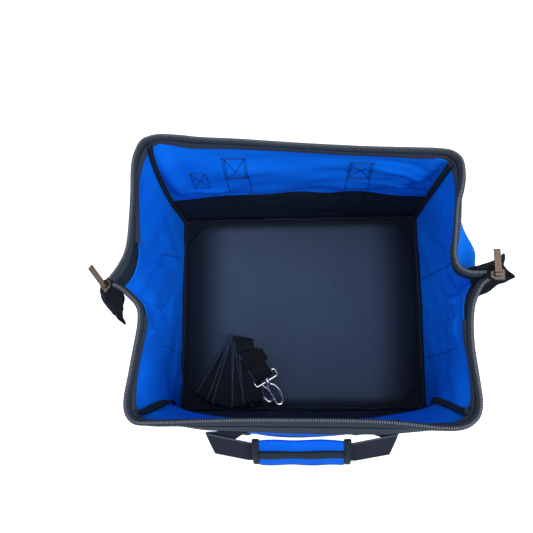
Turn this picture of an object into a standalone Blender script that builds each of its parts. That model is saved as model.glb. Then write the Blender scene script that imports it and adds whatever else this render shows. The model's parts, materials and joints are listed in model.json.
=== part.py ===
"""Large-mouth soft tool bag with its zip open and the shoulder strap lying inside.

Metres, +Z up. The origin is under the middle of the base, -Y is the front with the padded handle,
and +X is the right end. The mouth is modelled fully open. The front and rear halves of the bag are
the same pieces mirrored, so most functions take side = -1 (front) or +1 (rear) and
end = -1 (left) or +1 (right).
"""

import math

import bmesh
import bpy
from mathutils import Matrix, Vector

# Driving dimensions of the bag
WIDTH = 0.400
DEPTH = 0.318
HEIGHT = 0.300
CREASE_Z = 0.084
BAND_TOP_Z = 0.125
CLOTH = 0.003
GAP = 0.0003

# Base
BASE_THICK = 0.004
BASE_CORNER = 0.012
BASE_OVERHANG = 0.0015
BOARD_THICK = 0.003
BOARD_MARGIN = 0.006
BOARD_CHAMFER = 0.024
PIPING = 0.005

# Walls
FRONT_BULGE = 0.020
REAR_BULGE = 0.008
END_BULGE = 0.006
FLARE_POWER = 4
FRONT_FULLNESS = 1.5
REAR_FULLNESS = 1.0
FRONT_LEAN = 0.009
FRONT_LEAN_POWER = 6
REAR_LEAN = 0.0178
LEAN_FULL = 0.140
BINDING = 0.006
PANEL_COLUMNS = 14
PANEL_ROWS = 4
BINDING_ROWS = 8
WALL_ROWS = 8
LEG_COLUMNS = 3

# Rim: a hem with the frame wire in it, and the zip tape with its row of teeth
RIM_CORNER = 0.014
RIM_COLUMNS = 22
HEM_HEIGHT = 0.019
HEM_SKIN = 0.0015
WIRE = 0.005
HEM_ROOM = 0.0006
WIRE_ARM = 0.075
TAPE_THICK = 0.0012
TAPE_HEIGHT = 0.0115
TOOTH_HEIGHT = 0.0030
TOOTH_WIDTH = 0.0034
ZIP_FLARE = 0.026
ZIP_FLARE_START = 0.060
ZIP_TAIL_GAP = 0.0049

# Zip ends: tab, slider and puller
TAB_LENGTH = 0.040
TAB_WIDTH = 0.036
TAB_NOSE_WIDTH = 0.012
TAB_SEWN_LENGTH = 0.014
SLIDER_LENGTH = 0.016
SLIDER_WIDTH = 0.012
SLIDER_MOUTH_WIDTH = 0.006
SLIDER_TAPER = 0.0053
SLIDER_PLATE = 0.0014
SLIDER_THROAT = 0.0036
SLIDER_POST = 0.0022
BRIDGE_LENGTH = 0.0125
BRIDGE_WIRE = 0.0020
PULLER_LENGTH = 0.030
PULLER_WIDTH = 0.0085
PULLER_THICK = 0.0014
LEFT_TAB_YAW = math.radians(38.0)
LEFT_TAB_PITCH = math.radians(30.0)

# Webbing, handles and their padded wrap
WEBBING = 0.038
WEBBING_THICK = 0.0020
HANDLE_X = 0.085
LEG_TOP_DROP = 0.044
HANDLE_CORNER_X = 0.106
HANDLE_CORNER_OUT = 0.022
HANDLE_GRIP_OUT = 0.036
GRIP_MARGIN = 0.006
HANDLE_DROOP = math.radians(50.0)
REAR_HANDLE_DROOP = math.radians(70.0)
WRAP_LENGTH = 0.118
WRAP_WIDTH = 0.047
WRAP_THICK = 0.013
FLAP_THICK = 0.0022
FLAP_START = math.radians(112.0)
FLAP_SWEEP = math.radians(223.0)

# Strap rings sewn to the walls
RING_TAB_X = 0.139
RING_TAB_WIDTH = 0.026
RING_TAB_TOP_DROP = 0.078
RING_TAB_LENGTH = 0.050
RING_INNER_WIDTH = 0.028
RING_INNER_HEIGHT = 0.022
RING_WIRE = 0.004
RING_LEAN = math.radians(14.0)

# End pockets
POCKET_HALF = 0.078
POCKET_TOP_Z = 0.146
POCKET_SCOOP = 0.030
POCKET_BULGE = 0.012
POCKET_BINDING = 0.010
POCKET_FILL_POWER = 0.7

# Shoulder strap: its fold points in plan, measured from the left and front walls, from the lower
# hook's end to the upper hook's end
STRAP_WIDTH = 0.032
STRAP_THICK = 0.0018
STRAP_PITCH = 0.0027
STRAP_LOW_END_RISE = 0.0128
STRAP_HEM = 0.004
STRAP_FOLDS = [
    (0.112, 0.05),
    (0.108, 0.0535),
    (0.097, 0.063),
    (0.099, 0.103),
    (0.05, 0.025),
    (0.097, 0.107),
    (0.067, 0.019),
    (0.101, 0.11),
    (0.072, 0.017),
    (0.104, 0.112),
    (0.107, 0.016),
    (0.108, 0.107),
    (0.126, 0.022),
    (0.116, 0.095),
    (0.14, 0.055),
]
GLIDE_ALONG_SHARE = 0.40
GLIDE_LENGTH = 0.020
GLIDE_BAR = 0.003

# Swivel snap hooks
BAIL_WIRE = 0.0032
BAIL_DEPTH = 0.012
EYE_LENGTH = 0.005
SWIVEL_RADIUS = 0.0038
PIN_RADIUS = 0.0017
PIN_HEAD = 0.0016
HEAD_RADIUS = 0.0030
COLLAR_LENGTH = 0.003
HOOK_LENGTH = 0.040
HOOK_WIDTH = 0.021
HOOK_WIRE = 0.0036
HOOK_MOUTH_SHARE = 0.21
GATE_WIRE = 0.0028
GATE_END_SHARE = 0.6
UPPER_HOOK_TILT = math.radians(12.0)
LOWER_HOOK_ROLL = math.radians(10.0)

# Worked out from the driving dimensions
HALF_WIDTH = WIDTH / 2
HALF_DEPTH = DEPTH / 2
HALF_CLOTH = CLOTH / 2
RIM_TOP_Z = HEIGHT - GAP
HEM_TOP_Z = RIM_TOP_Z - TOOTH_HEIGHT - GAP
HEM_BOTTOM_Z = HEM_TOP_Z - HEM_HEIGHT
WALL_TOP_Z = HEM_BOTTOM_Z - GAP
WALL_BOTTOM_Z = BASE_THICK + GAP
WIRE_Z = HEM_BOTTOM_Z + HEM_SKIN + HEM_ROOM + WIRE / 2
HEM_HALF = WIRE / 2 + HEM_ROOM + HEM_SKIN
LEG_TOP_Z = HEIGHT - LEG_TOP_DROP
RING_TAB_TOP_Z = HEIGHT - RING_TAB_TOP_DROP
RING_TAB_BOTTOM_Z = RING_TAB_TOP_Z - RING_TAB_LENGTH
SIDES = {"front": -1, "rear": 1}
ENDS = {"left": -1, "right": 1}
BULGES = {-1: FRONT_BULGE, 1: REAR_BULGE}
FULLNESS = {-1: FRONT_FULLNESS, 1: REAR_FULLNESS}
RING_SIDES = {"front": 1, "rear": -1}
TAIL_X = HALF_WIDTH + ZIP_FLARE
FLOOR_TOP_Z = BASE_THICK + GAP + BOARD_THICK
STRAP_FOLD_COUNT = len(STRAP_FOLDS) - 4

# Counts
ARC_STEPS = 5
FLARE_STEPS = 6
WIRE_SIDES = 8
TURN_STEPS = 4

BLUE = (0.006, 0.102, 0.620, 1.0)
BLACK = (0.012, 0.017, 0.028, 1.0)
WEB_BLACK = (0.010, 0.013, 0.020, 1.0)
STEEL = (0.620, 0.630, 0.640, 1.0)
BRONZE = (0.300, 0.230, 0.180, 1.0)


def clear_scene():
    for old in list(bpy.data.objects):
        bpy.data.objects.remove(old, do_unlink=True)


def material(name, colour, roughness, metallic=0.0):
    found = bpy.data.materials.get(name) or bpy.data.materials.new(name)
    found.use_nodes = True
    shader = found.node_tree.nodes["Principled BSDF"]
    shader.inputs["Base Color"].default_value = colour
    shader.inputs["Roughness"].default_value = roughness
    shader.inputs["Metallic"].default_value = metallic
    return found


def blue_cloth():
    return material("blue_cloth", BLUE, 0.75)


def black_cloth():
    return material("black_cloth", BLACK, 0.80)


def black_webbing():
    return material("black_webbing", WEB_BLACK, 0.70)


def plated_steel():
    return material("plated_steel", STEEL, 0.22, 1.0)


def bronze_puller():
    return material("bronze_puller", BRONZE, 0.30, 1.0)


def black_plastic():
    return material("black_plastic", WEB_BLACK, 0.35)


def empty(name, location=(0, 0, 0), parent=None, rotation=None):
    made = bpy.data.objects.new(name, None)
    bpy.context.collection.objects.link(made)
    made.parent = parent
    made.matrix_local = Matrix.Translation(location) @ (rotation or Matrix.Identity(4))
    return made


def add_mesh(name, bm, skin, parent=None, smooth=False):
    """Makes an object whose mesh is in the world frame, and hangs it from its joint's empty."""
    bmesh.ops.recalc_face_normals(bm, faces=bm.faces)
    mesh = bpy.data.meshes.new(name)
    made = bpy.data.objects.new(name, mesh)
    bpy.context.collection.objects.link(made)
    bpy.context.view_layer.update()
    if parent:
        bm.transform(parent.matrix_world.inverted())
        made.parent = parent
    bm.to_mesh(mesh)
    bm.free()
    mesh.materials.append(skin)
    mesh.polygons.foreach_set("use_smooth", [smooth] * len(mesh.polygons))
    return made


def unite(base, *others):
    """Joins other solids to the base by Boolean unions. They stay in the scene as hidden guides."""
    for other in others:
        other.hide_render = True
        other.display_type = "WIRE"
        joined = base.modifiers.new(f"join_{other.name}", "BOOLEAN")
        joined.operation = "UNION"
        joined.object = other
    return base


def add_loft(bm, sections, closed_loop=False):
    """Skins equal loops of points into one closed body, with a flat cap at each end of an open row."""
    rings = [[bm.verts.new(p) for p in section] for section in sections]
    count = len(rings[0])
    pairs = list(zip(rings, rings[1:]))
    if closed_loop:
        pairs.append((rings[-1], rings[0]))
    for a, b in pairs:
        for i in range(count):
            j = (i + 1) % count
            bm.faces.new((a[i], a[j], b[j], b[i]))
    if not closed_loop:
        bm.faces.new(list(reversed(rings[0])))
        bm.faces.new(rings[-1])


def add_slab(bm, grid_in, grid_out):
    """A closed slab between two equal grids of points, given as rows."""
    low = [[bm.verts.new(p) for p in row] for row in grid_in]
    high = [[bm.verts.new(p) for p in row] for row in grid_out]
    rows, columns = len(low), len(low[0])
    for grid in (low, high):
        for i in range(rows - 1):
            for j in range(columns - 1):
                bm.faces.new((grid[i][j], grid[i][j + 1], grid[i + 1][j + 1], grid[i + 1][j]))
    for i in range(rows - 1):
        for j in (0, columns - 1):
            bm.faces.new((low[i][j], low[i + 1][j], high[i + 1][j], high[i][j]))
    for j in range(columns - 1):
        for i in (0, rows - 1):
            bm.faces.new((low[i][j], low[i][j + 1], high[i][j + 1], high[i][j]))


def spread(start, stop, count):
    return [start + (stop - start) * i / count for i in range(count + 1)]


def rounded_rectangle(half_x, half_y, radius, steps=ARC_STEPS):
    points = []
    for quarter, (sx, sy) in enumerate([(1, 1), (-1, 1), (-1, -1), (1, -1)]):
        for angle in spread(quarter * math.pi / 2, (quarter + 1) * math.pi / 2, steps):
            points.append(
                (
                    sx * (half_x - radius) + radius * math.cos(angle),
                    sy * (half_y - radius) + radius * math.sin(angle),
                )
            )
    return points


def add_ring_wire(bm, path, radius, closed=True, sides=WIRE_SIDES, flat=None):
    """A round wire along a path of points, with flat caps if it is open."""
    points = [Vector(p) for p in path]
    count = len(points)
    sections = []
    side = None
    for i, point in enumerate(points):
        before = points[i - 1] if closed or i else point
        after = points[(i + 1) % count] if closed or i < count - 1 else point
        tangent = (after - before).normalized()
        if flat is not None:
            side = Vector(flat)
        elif side is None:
            side = tangent.orthogonal()
        side = (side - tangent * side.dot(tangent)).normalized()
        other = tangent.cross(side)
        turns = [2 * math.pi * k / sides for k in range(sides)]
        sections.append([point + radius * (side * math.cos(t) + other * math.sin(t)) for t in turns])
    add_loft(bm, sections, closed_loop=closed)


# Shape of the walls, shared by every piece that lies on them


def mid_share(x):
    """One in the middle of a wall, nothing at its corners."""
    return math.cos(math.pi / 2 * min(abs(x) / HALF_WIDTH, 1.0)) ** 2


def front_lean(x, z):
    """The front wall's top and its hem's foot stand out in the middle. The zip teeth stay in line."""
    if z > WALL_TOP_Z:
        up_share = max((HEM_TOP_Z - z) / (HEM_TOP_Z - WALL_TOP_Z), 0.0)
    else:
        up_share = (z / WALL_TOP_Z) ** FRONT_LEAN_POWER
    return FRONT_LEAN * mid_share(x) * up_share


def rear_lean(z):
    """The rear wall leans out from its crease and takes its half of the mouth with it."""
    return REAR_LEAN * max(z - CREASE_Z, 0.0) / (HEIGHT - CREASE_Z)


def wall_lean(side, x, z):
    return rear_lean(z) if side > 0 else front_lean(x, z)


def wall_y(side, x, z, out):
    """Where the front or rear wall's skin lies, a distance out from its middle surface."""
    up = min(max((z - CREASE_Z) / (WALL_TOP_Z - CREASE_Z), 0.0), 1.0)
    up_share = math.sin(math.pi * up ** FULLNESS[side])
    bulge = BULGES[side] * mid_share(x) * up_share
    return side * (HALF_DEPTH + bulge + wall_lean(side, x, z) + out)


def rear_share(y):
    """How much of the rear wall's lean a piece of an end takes: none at the front corner, half at the zip end."""
    share = min(max((y + LEAN_FULL) / (2.0 * LEAN_FULL), 0.0), 1.0)
    return share * share * (3.0 - 2.0 * share)


def lean_mesh(bm):
    """Leans a piece of an end, a corner or the rim with the walls beside it."""
    for vert in bm.verts:
        x, y, z = vert.co
        vert.co.y += rear_share(y) * rear_lean(z)
        if y < 0.0:
            vert.co.y -= front_lean(x, z)


def end_flare(y):
    """How far the rim stands out of the end wall's plane, where the two zip halves come together."""
    inward = 1.0 - abs(y) / ZIP_FLARE_START
    if inward <= 0.0:
        return 0.0
    return ZIP_FLARE * (1.0 - math.sqrt(max(1.0 - inward * inward, 0.0)))


def end_x(end, y, z, out):
    """Where the left or right end wall's skin lies, a distance out from its middle surface."""
    up_share = min(max(z / WALL_TOP_Z, 0.0), 1.0)
    across_share = math.cos(math.pi / 2 * min(abs(y) / HALF_DEPTH, 1.0)) ** 2
    bulge = END_BULGE * across_share * math.sin(math.pi * up_share)
    return end * (HALF_WIDTH + bulge + end_flare(y) * up_share**FLARE_POWER + out)


def add_wall_patch(bm, side, x_range, z_range, out_range, columns, rows):
    grids = []
    for out in out_range:
        grids.append(
            [
                [(x, wall_y(side, x, z, out), z) for x in spread(*x_range, columns)]
                for z in spread(*z_range, rows)
            ]
        )
    add_slab(bm, *grids)


# Tub and walls


def make_base(root):
    half_x = HALF_WIDTH + HALF_CLOTH + BASE_OVERHANG
    half_y = HALF_DEPTH + HALF_CLOTH + BASE_OVERHANG
    bm = bmesh.new()
    outline = rounded_rectangle(half_x, half_y, BASE_CORNER)
    add_loft(bm, [[(x, y, z) for x, y in outline] for z in (0.0, BASE_THICK)])
    add_mesh("base_panel", bm, black_cloth(), root)


def make_board(root):
    x, y = HALF_WIDTH - BOARD_MARGIN, HALF_DEPTH - BOARD_MARGIN
    cut = BOARD_CHAMFER
    outline = [(x, y - cut), (x - cut, y), (cut - x, y), (-x, y - cut)]
    outline += [(-x, cut - y), (cut - x, -y), (x - cut, -y), (x, cut - y)]
    bm = bmesh.new()
    low = BASE_THICK + GAP
    add_loft(bm, [[(px, py, z) for px, py in outline] for z in (low, low + BOARD_THICK)])
    add_mesh("base_board", bm, black_cloth(), root)


def make_floor_piping(root):
    """The bound seam that runs round the floor inside, where walls and base are sewn together."""
    half_x = HALF_WIDTH - BINDING / 2 - GAP
    half_y = HALF_DEPTH - BINDING / 2 - GAP
    low = FLOOR_TOP_Z + GAP
    sections = []
    for sx, sy in [(1, 1), (-1, 1), (-1, -1), (1, -1)]:
        outer = (sx * half_x, sy * half_y)
        inner = (sx * (half_x - PIPING), sy * (half_y - PIPING))
        sections.append(
            [(*outer, low), (*outer, low + PIPING), (*inner, low + PIPING), (*inner, low)]
        )
    bm = bmesh.new()
    add_loft(bm, sections, closed_loop=True)
    add_mesh("floor_piping", bm, black_cloth(), root)


def make_wall_pair(side_name, root, wall):
    side = SIDES[side_name]
    half = HALF_WIDTH - BINDING / 2 - GAP
    cloth = (-HALF_CLOTH, HALF_CLOTH)
    bm = bmesh.new()
    band_z = (WALL_BOTTOM_Z, BAND_TOP_Z)
    add_wall_patch(bm, side, (-half, half), band_z, cloth, PANEL_COLUMNS, WALL_ROWS)
    add_mesh(f"{side_name}_lower_band", bm, black_cloth(), root)
    bm = bmesh.new()
    upper_z = (BAND_TOP_Z + GAP, WALL_TOP_Z)
    add_wall_patch(bm, side, (-half, half), upper_z, cloth, PANEL_COLUMNS, WALL_ROWS)
    add_mesh(f"{side_name}_upper_wall", bm, blue_cloth(), wall)


def make_end_panel(end_name, root):
    end = ENDS[end_name]
    half = HALF_DEPTH - BINDING / 2 - GAP
    grids = []
    for out in (-HALF_CLOTH, HALF_CLOTH):
        grids.append(
            [
                [(end_x(end, y, z, out), y, z) for y in spread(-half, half, PANEL_COLUMNS)]
                for z in spread(WALL_BOTTOM_Z, WALL_TOP_Z, 2 * PANEL_ROWS)
            ]
        )
    bm = bmesh.new()
    add_slab(bm, *grids)
    lean_mesh(bm)
    add_mesh(f"{end_name}_end_panel", bm, blue_cloth(), root)


def make_corner_binding(side_name, end_name, root):
    side, end = SIDES[side_name], ENDS[end_name]
    x, y, half = end * HALF_WIDTH, side * HALF_DEPTH, BINDING / 2
    outline = [(x - half, y - half), (x + half, y - half), (x + half, y + half), (x - half, y + half)]
    bm = bmesh.new()
    levels = spread(WALL_BOTTOM_Z, WALL_TOP_Z, BINDING_ROWS)
    add_loft(bm, [[(px, py, z) for px, py in outline] for z in levels])
    lean_mesh(bm)
    add_mesh(f"corner_binding_{side_name}_{end_name}", bm, black_cloth(), root)


def pocket_top(y):
    """The pocket's scooped top edge: highest at its side seams."""
    return POCKET_TOP_Z - POCKET_SCOOP * math.cos(math.pi / 2 * y / POCKET_HALF)


def pocket_out(y, z):
    """How far the pocket cloth stands off the end wall."""
    across_share = 1.0 - (y / POCKET_HALF) ** 2
    up_share = min((z - WALL_BOTTOM_Z) / (POCKET_TOP_Z - WALL_BOTTOM_Z), 1.0) ** POCKET_FILL_POWER
    return HALF_CLOTH + GAP + POCKET_BULGE * across_share * up_share


def make_pocket(end_name, root):
    end = ENDS[end_name]
    columns = spread(-POCKET_HALF, POCKET_HALF, PANEL_COLUMNS)
    for piece, skin, low_edge, high_edge in (
        ("pocket", blue_cloth(), 0.0, POCKET_BINDING + GAP),
        ("pocket_binding", black_cloth(), POCKET_BINDING, 0.0),
    ):
        grids = []
        rows = PANEL_ROWS + 1 if piece == "pocket" else 1
        for extra in (0.0, CLOTH):
            grid = []
            for step in range(rows + 1):
                row = []
                for y in columns:
                    top = pocket_top(y) - high_edge
                    low = WALL_BOTTOM_Z if piece == "pocket" else top - low_edge
                    z = low + (top - low) * step / rows
                    row.append((end_x(end, y, z, pocket_out(y, z) + extra), y, z))
                grid.append(row)
            grids.append(grid)
        bm = bmesh.new()
        add_slab(bm, *grids)
        add_mesh(f"{end_name}_{piece}", bm, skin, root)


# Rim of the mouth


def rim_path(side, arm_limit=None):
    """The rim's middle line in plan with its outward direction, from the left tail to the right tail."""
    half = []
    limit = HALF_DEPTH if arm_limit is None else arm_limit
    if arm_limit is None:
        for turn in reversed(spread(0.0, math.pi / 2, FLARE_STEPS)):
            run = ZIP_FLARE_START - ZIP_TAIL_GAP
            y = -ZIP_FLARE_START + run * math.sin(turn)
            x = HALF_WIDTH + ZIP_FLARE * (1.0 - math.cos(turn))
            heading = Vector((run * math.cos(turn), -ZIP_FLARE * math.sin(turn)))
            half.append(((x, y), heading.normalized()))
    else:
        half.append(((HALF_WIDTH, -HALF_DEPTH + limit), Vector((1.0, 0.0))))
    for turn in spread(0.0, -math.pi / 2, ARC_STEPS):
        out = Vector((math.cos(turn), math.sin(turn)))
        corner = Vector((HALF_WIDTH - RIM_CORNER, -HALF_DEPTH + RIM_CORNER))
        half.append((tuple(corner + out * RIM_CORNER), out))
    left = [((-x, y), Vector((-out.x, out.y))) for (x, y), out in half]
    straight = spread(RIM_CORNER - HALF_WIDTH, HALF_WIDTH - RIM_CORNER, RIM_COLUMNS)[1:-1]
    middle = [((x, -HALF_DEPTH), Vector((0.0, -1.0))) for x in straight]
    whole = left + middle + list(reversed(half))
    return [((x, -side * y), Vector((out.x, -side * out.y))) for (x, y), out in whole]


def add_rim_strip(bm, side, section, path=None):
    """Sweeps a section of (out, z) points along the rim."""
    rings = []
    for (x, y), out in path or rim_path(side):
        rings.append([(x + out.x * n, y + out.y * n, z) for n, z in section])
    add_loft(bm, rings)
    lean_mesh(bm)


def make_hem(side_name, rim):
    """The hem is a folded strip, open at the top, that holds the frame wire and the zip tape."""
    inner = HEM_HALF - HEM_SKIN
    section = [
        (-HEM_HALF, HEM_BOTTOM_Z),
        (HEM_HALF, HEM_BOTTOM_Z),
        (HEM_HALF, HEM_TOP_Z),
        (inner, HEM_TOP_Z),
        (inner, HEM_BOTTOM_Z + HEM_SKIN),
        (-inner, HEM_BOTTOM_Z + HEM_SKIN),
        (-inner, HEM_TOP_Z),
        (-HEM_HALF, HEM_TOP_Z),
    ]
    bm = bmesh.new()
    add_rim_strip(bm, SIDES[side_name], section)
    add_mesh(f"{side_name}_rim_hem", bm, black_cloth(), rim)


def make_zip_tape(side_name, rim):
    """The zip tape stands in the hem's slot and carries the row of teeth, as one bead, on its top edge."""
    out = HEM_HALF - HEM_SKIN - HEM_ROOM
    back = out - TAPE_THICK
    low, bead_low = HEM_TOP_Z - TAPE_HEIGHT, HEM_TOP_Z + GAP
    middle = (out + back) / 2
    section = [
        (back, low),
        (out, low),
        (out, bead_low),
        (middle + TOOTH_WIDTH / 2, bead_low),
        (middle + TOOTH_WIDTH / 2, RIM_TOP_Z),
        (middle - TOOTH_WIDTH / 2, RIM_TOP_Z),
        (middle - TOOTH_WIDTH / 2, bead_low),
        (back, bead_low),
    ]
    bm = bmesh.new()
    add_rim_strip(bm, SIDES[side_name], section)
    add_mesh(f"{side_name}_zip_tape", bm, black_cloth(), rim)


def make_frame_wire(side_name, rim):
    """The steel wire that keeps each half of the mouth straight, with short arms along the ends."""
    path = [(x, y, WIRE_Z) for (x, y), _ in rim_path(SIDES[side_name], WIRE_ARM)]
    bm = bmesh.new()
    add_ring_wire(bm, path, WIRE / 2, closed=False, flat=(0, 0, 1))
    lean_mesh(bm)
    add_mesh(f"{side_name}_frame_wire", bm, plated_steel(), rim, smooth=True)


# Zip ends


def zip_end_frame(end):
    """Local frame of a zip end: x runs out along the closed zip, z is up. The left one droops."""
    z = HEM_TOP_Z + SLIDER_THROAT / 2
    y = rear_share(0.0) * rear_lean(z)
    if end > 0:
        return Matrix.Translation((TAIL_X + GAP, y, z))
    mouth_corner = SLIDER_MOUTH_WIDTH / 2 * math.sin(LEFT_TAB_YAW)
    plate_corner = (SLIDER_THROAT / 2 + SLIDER_PLATE) * math.sin(LEFT_TAB_PITCH)
    place = Matrix.Translation((-TAIL_X - GAP - mouth_corner - plate_corner, y, z))
    turn = Matrix.Rotation(math.pi + LEFT_TAB_YAW, 4, "Z")
    return place @ turn @ Matrix.Rotation(LEFT_TAB_PITCH, 4, "Y")


def make_zip_tab(end_name, frame):
    """The closed stub of the zip with its sewn end, notched round the slider's post."""
    start = SLIDER_LENGTH / 2
    half, thick = TAB_WIDTH / 2, SLIDER_THROAT / 2 - GAP
    nose, sewn = TAB_LENGTH, TAB_LENGTH - TAB_SEWN_LENGTH
    outline = [
        (start, -half),
        (sewn, -half),
        (nose, -TAB_NOSE_WIDTH / 2),
        (nose, TAB_NOSE_WIDTH / 2),
        (sewn, half),
        (start, half),
    ]
    bm = bmesh.new()
    add_loft(bm, [[(x, y, z) for x, y in outline] for z in (-thick, thick)])
    bm.transform(frame.matrix_world)
    add_mesh(f"{end_name}_zip_tab", bm, black_cloth(), frame)


def make_slider(end_name, frame):
    """Two plates joined by a post at the mouth end, and a bridge riveted on top for the puller."""
    throat, plate = SLIDER_THROAT / 2, SLIDER_PLATE
    half = SLIDER_WIDTH / 2
    mouth = SLIDER_MOUTH_WIDTH / 2
    outline = [(0.0, -mouth), (SLIDER_TAPER, -half), (SLIDER_LENGTH, -half)]
    outline += [(SLIDER_LENGTH, half), (SLIDER_TAPER, half), (0.0, mouth)]
    post = [(plate, -SLIDER_POST / 2), (plate + SLIDER_POST, 0.0), (plate, SLIDER_POST / 2)]
    bm = bmesh.new()
    loops = []
    for z in (-throat, throat):
        loops.append([bm.verts.new((x, y, z)) for x, y in post])
        loops.append([bm.verts.new((x, y, z)) for x, y in outline])
        loops.append([bm.verts.new((x, y, z + math.copysign(plate, z))) for x, y in outline])
    low_post, low_face, low_back, high_post, high_face, high_back = loops
    for inner, outer, back in ((low_post, low_face, low_back), (high_post, high_face, high_back)):
        edges = [bm.edges.new(pair) for ring in (inner, outer) for pair in zip(ring, ring[1:] + ring[:1])]
        bmesh.ops.triangle_fill(bm, use_beauty=True, use_dissolve=False, edges=edges)
        join_rings(bm, outer, back)
        bm.faces.new(back)
    join_rings(bm, low_post, high_post)
    bm.transform(frame.matrix_world)
    body = add_mesh(f"{end_name}_zip_slider", bm, plated_steel(), frame)
    bm = bmesh.new()
    rise = bridge_height()
    middle = SLIDER_LENGTH / 2
    foot = throat + plate / 2
    path = []
    for side in (-1, 1):
        leg = middle + side * (BRIDGE_LENGTH - BRIDGE_WIRE) / 2
        stretch = [(leg, 0.0, foot), (leg, 0.0, rise)]
        path += stretch if side < 0 else stretch[::-1]
    add_ring_wire(bm, path, BRIDGE_WIRE / 2, closed=False, flat=(0, 1, 0))
    bm.transform(frame.matrix_world)
    unite(body, add_mesh(f"{end_name}_bridge_guide", bm, plated_steel(), frame))


def join_rings(bm, ring_a, ring_b):
    for i, (a, b) in enumerate(zip(ring_a, ring_b)):
        j = (i + 1) % len(ring_a)
        bm.faces.new((a, ring_a[j], ring_b[j], b))


def bridge_height():
    """Height of the bridge's bar over the slider's middle, with room for the puller's rolled end."""
    eye = BRIDGE_WIRE / 2 + GAP + PULLER_THICK
    return SLIDER_THROAT / 2 + SLIDER_PLATE + eye + 2 * GAP


def make_puller(end_name, frame):
    """A plate rolled round the bridge, lying to the rear."""
    bm = bmesh.new()
    width = min(PULLER_WIDTH, BRIDGE_LENGTH - 2 * BRIDGE_WIRE - 2 * GAP)
    hole = BRIDGE_WIRE / 2 + GAP
    middle = frame.matrix_world.to_translation()
    turn = frame.matrix_world.to_3x3()
    u, v = turn @ Vector((0, ENDS[end_name], 0)), turn @ Vector((0, 0, 1))
    add_rolled_strip(bm, middle, hole, PULLER_THICK, PULLER_LENGTH, u, v, width)
    add_mesh(f"{end_name}_zip_puller", bm, bronze_puller(), frame)


def make_zip_end(end_name, root):
    """A zip end hangs from its own sliding body, with the slider and the puller on it."""
    end = ENDS[end_name]
    place = zip_end_frame(end)
    frame = empty(f"{end_name}_zip_end_axis", parent=root, rotation=place)
    middle = SLIDER_LENGTH / 2
    slider = empty(f"{end_name}_slider_axis", parent=frame)
    puller = empty(f"{end_name}_puller_axis", (middle, 0.0, bridge_height()), slider)
    bpy.context.view_layer.update()
    make_zip_tab(end_name, frame)
    make_slider(end_name, slider)
    make_puller(end_name, puller)


# Solids cut from a flat outline, and rolled strips


def add_extrusion(bm, outline, holes, run):
    """Extrudes a flat outline with holes along a vector into one closed body."""
    edges = []
    for loop in [outline, *holes]:
        verts = [bm.verts.new(p) for p in loop]
        edges += [bm.edges.new(pair) for pair in zip(verts, verts[1:] + verts[:1])]
    filled = bmesh.ops.triangle_fill(bm, use_beauty=True, use_dissolve=False, edges=edges)["geom"]
    faces = [g for g in filled if isinstance(g, bmesh.types.BMFace)]
    grown = bmesh.ops.extrude_face_region(bm, geom=faces, use_keep_orig=True)["geom"]
    moved = [g for g in grown if isinstance(g, bmesh.types.BMVert)]
    bmesh.ops.translate(bm, verts=moved, vec=run)


def circle(centre, radius, u, v, steps=WIRE_SIDES):
    """A ring of points in the plane of the unit vectors u and v."""
    turns = [2 * math.pi * i / steps for i in range(steps)]
    return [centre + radius * (u * math.cos(t) + v * math.sin(t)) for t in turns]


def add_rolled_strip(bm, centre, hole, skin, reach, u, v, width):
    """A strip of a given width that runs along u and ends rolled round a bar at the centre."""
    across = u.cross(v).normalized()
    start = centre - across * width / 2
    outer = hole + skin
    opening = math.asin(skin / 2 / outer)
    outline = []
    for turn in spread(opening, 2 * math.pi - opening, 2 * WIRE_SIDES):
        outline.append(start + outer * (u * math.cos(turn) + v * math.sin(turn)))
    far = start + u * reach
    outline += [far - v * skin / 2, far + v * skin / 2]
    bore = circle(start, hole, u, v, 2 * WIRE_SIDES)
    add_extrusion(bm, outline, [bore], across * width)


# Folded webbing


def add_ribbon(bm, stations, thick):
    """A flat ribbon through stations of (middle, half width vector, face direction)."""
    rings = []
    for middle, across, normal in stations:
        skin = normal.normalized() * thick / 2
        low, high = middle - skin, middle + skin
        rings.append([low - across, low + across, high + across, high - across])
    add_loft(bm, rings)


def folded_stations(points, width, up, rises, ends=(None, None)):
    """Stations of a ribbon that folds flat back on itself wherever its path turns back.

    rises holds the layer step at each fold. The crease of a fold lies across the middle direction of
    the two runs that meet there, so each run is a plane strip between two creases. ends may give the
    half width vectors of the two cut ends.
    """
    stations = []
    face = 1.0
    layer = Vector((0, 0, 0))
    steps = iter(rises)
    last = len(points) - 1
    for i, point in enumerate(points):
        into = (point - points[i - 1]).normalized() if i else None
        away = (points[i + 1] - point).normalized() if i < last else None
        if into is None or away is None:
            run = into or away
            given = ends[0] if into is None else ends[1]
            across = given or up.cross(run) * face * width / 2
            stations.append((point + layer, across, up * face))
        elif into.dot(away) > 0:
            run = (into + away).normalized()
            across = up.cross(run) * face * width / 2 / run.dot(into)
            stations.append((point + layer, across, up * face))
        else:
            rise = next(steps)
            nose = into - away
            nose = (nose - up * nose.dot(up)).normalized()
            crease = up.cross(nose) * face * width / 2 / nose.dot(into)
            radius = abs(rise) / 2
            centre = point + layer + up * rise / 2
            for turn in spread(-math.pi / 2, math.pi / 2, TURN_STEPS):
                lift = up * math.copysign(1.0, rise)
                out = nose * math.cos(turn) + lift * math.sin(turn)
                stations.append((centre + out * radius, crease, -out * face * math.copysign(1.0, rise)))
            layer = layer + up * rise
            face = -face
    return stations


# Handles


def handle_hinge(side):
    """Where a handle leaves its sewn legs: a line along X in front of the legs' top ends."""
    out = HALF_CLOTH + GAP + WEBBING_THICK + GAP + WEBBING_THICK / 2
    z = LEG_TOP_Z - WEBBING_THICK
    return Vector((0.0, wall_y(side, HANDLE_X - WEBBING / 2, z, out), z))


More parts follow.
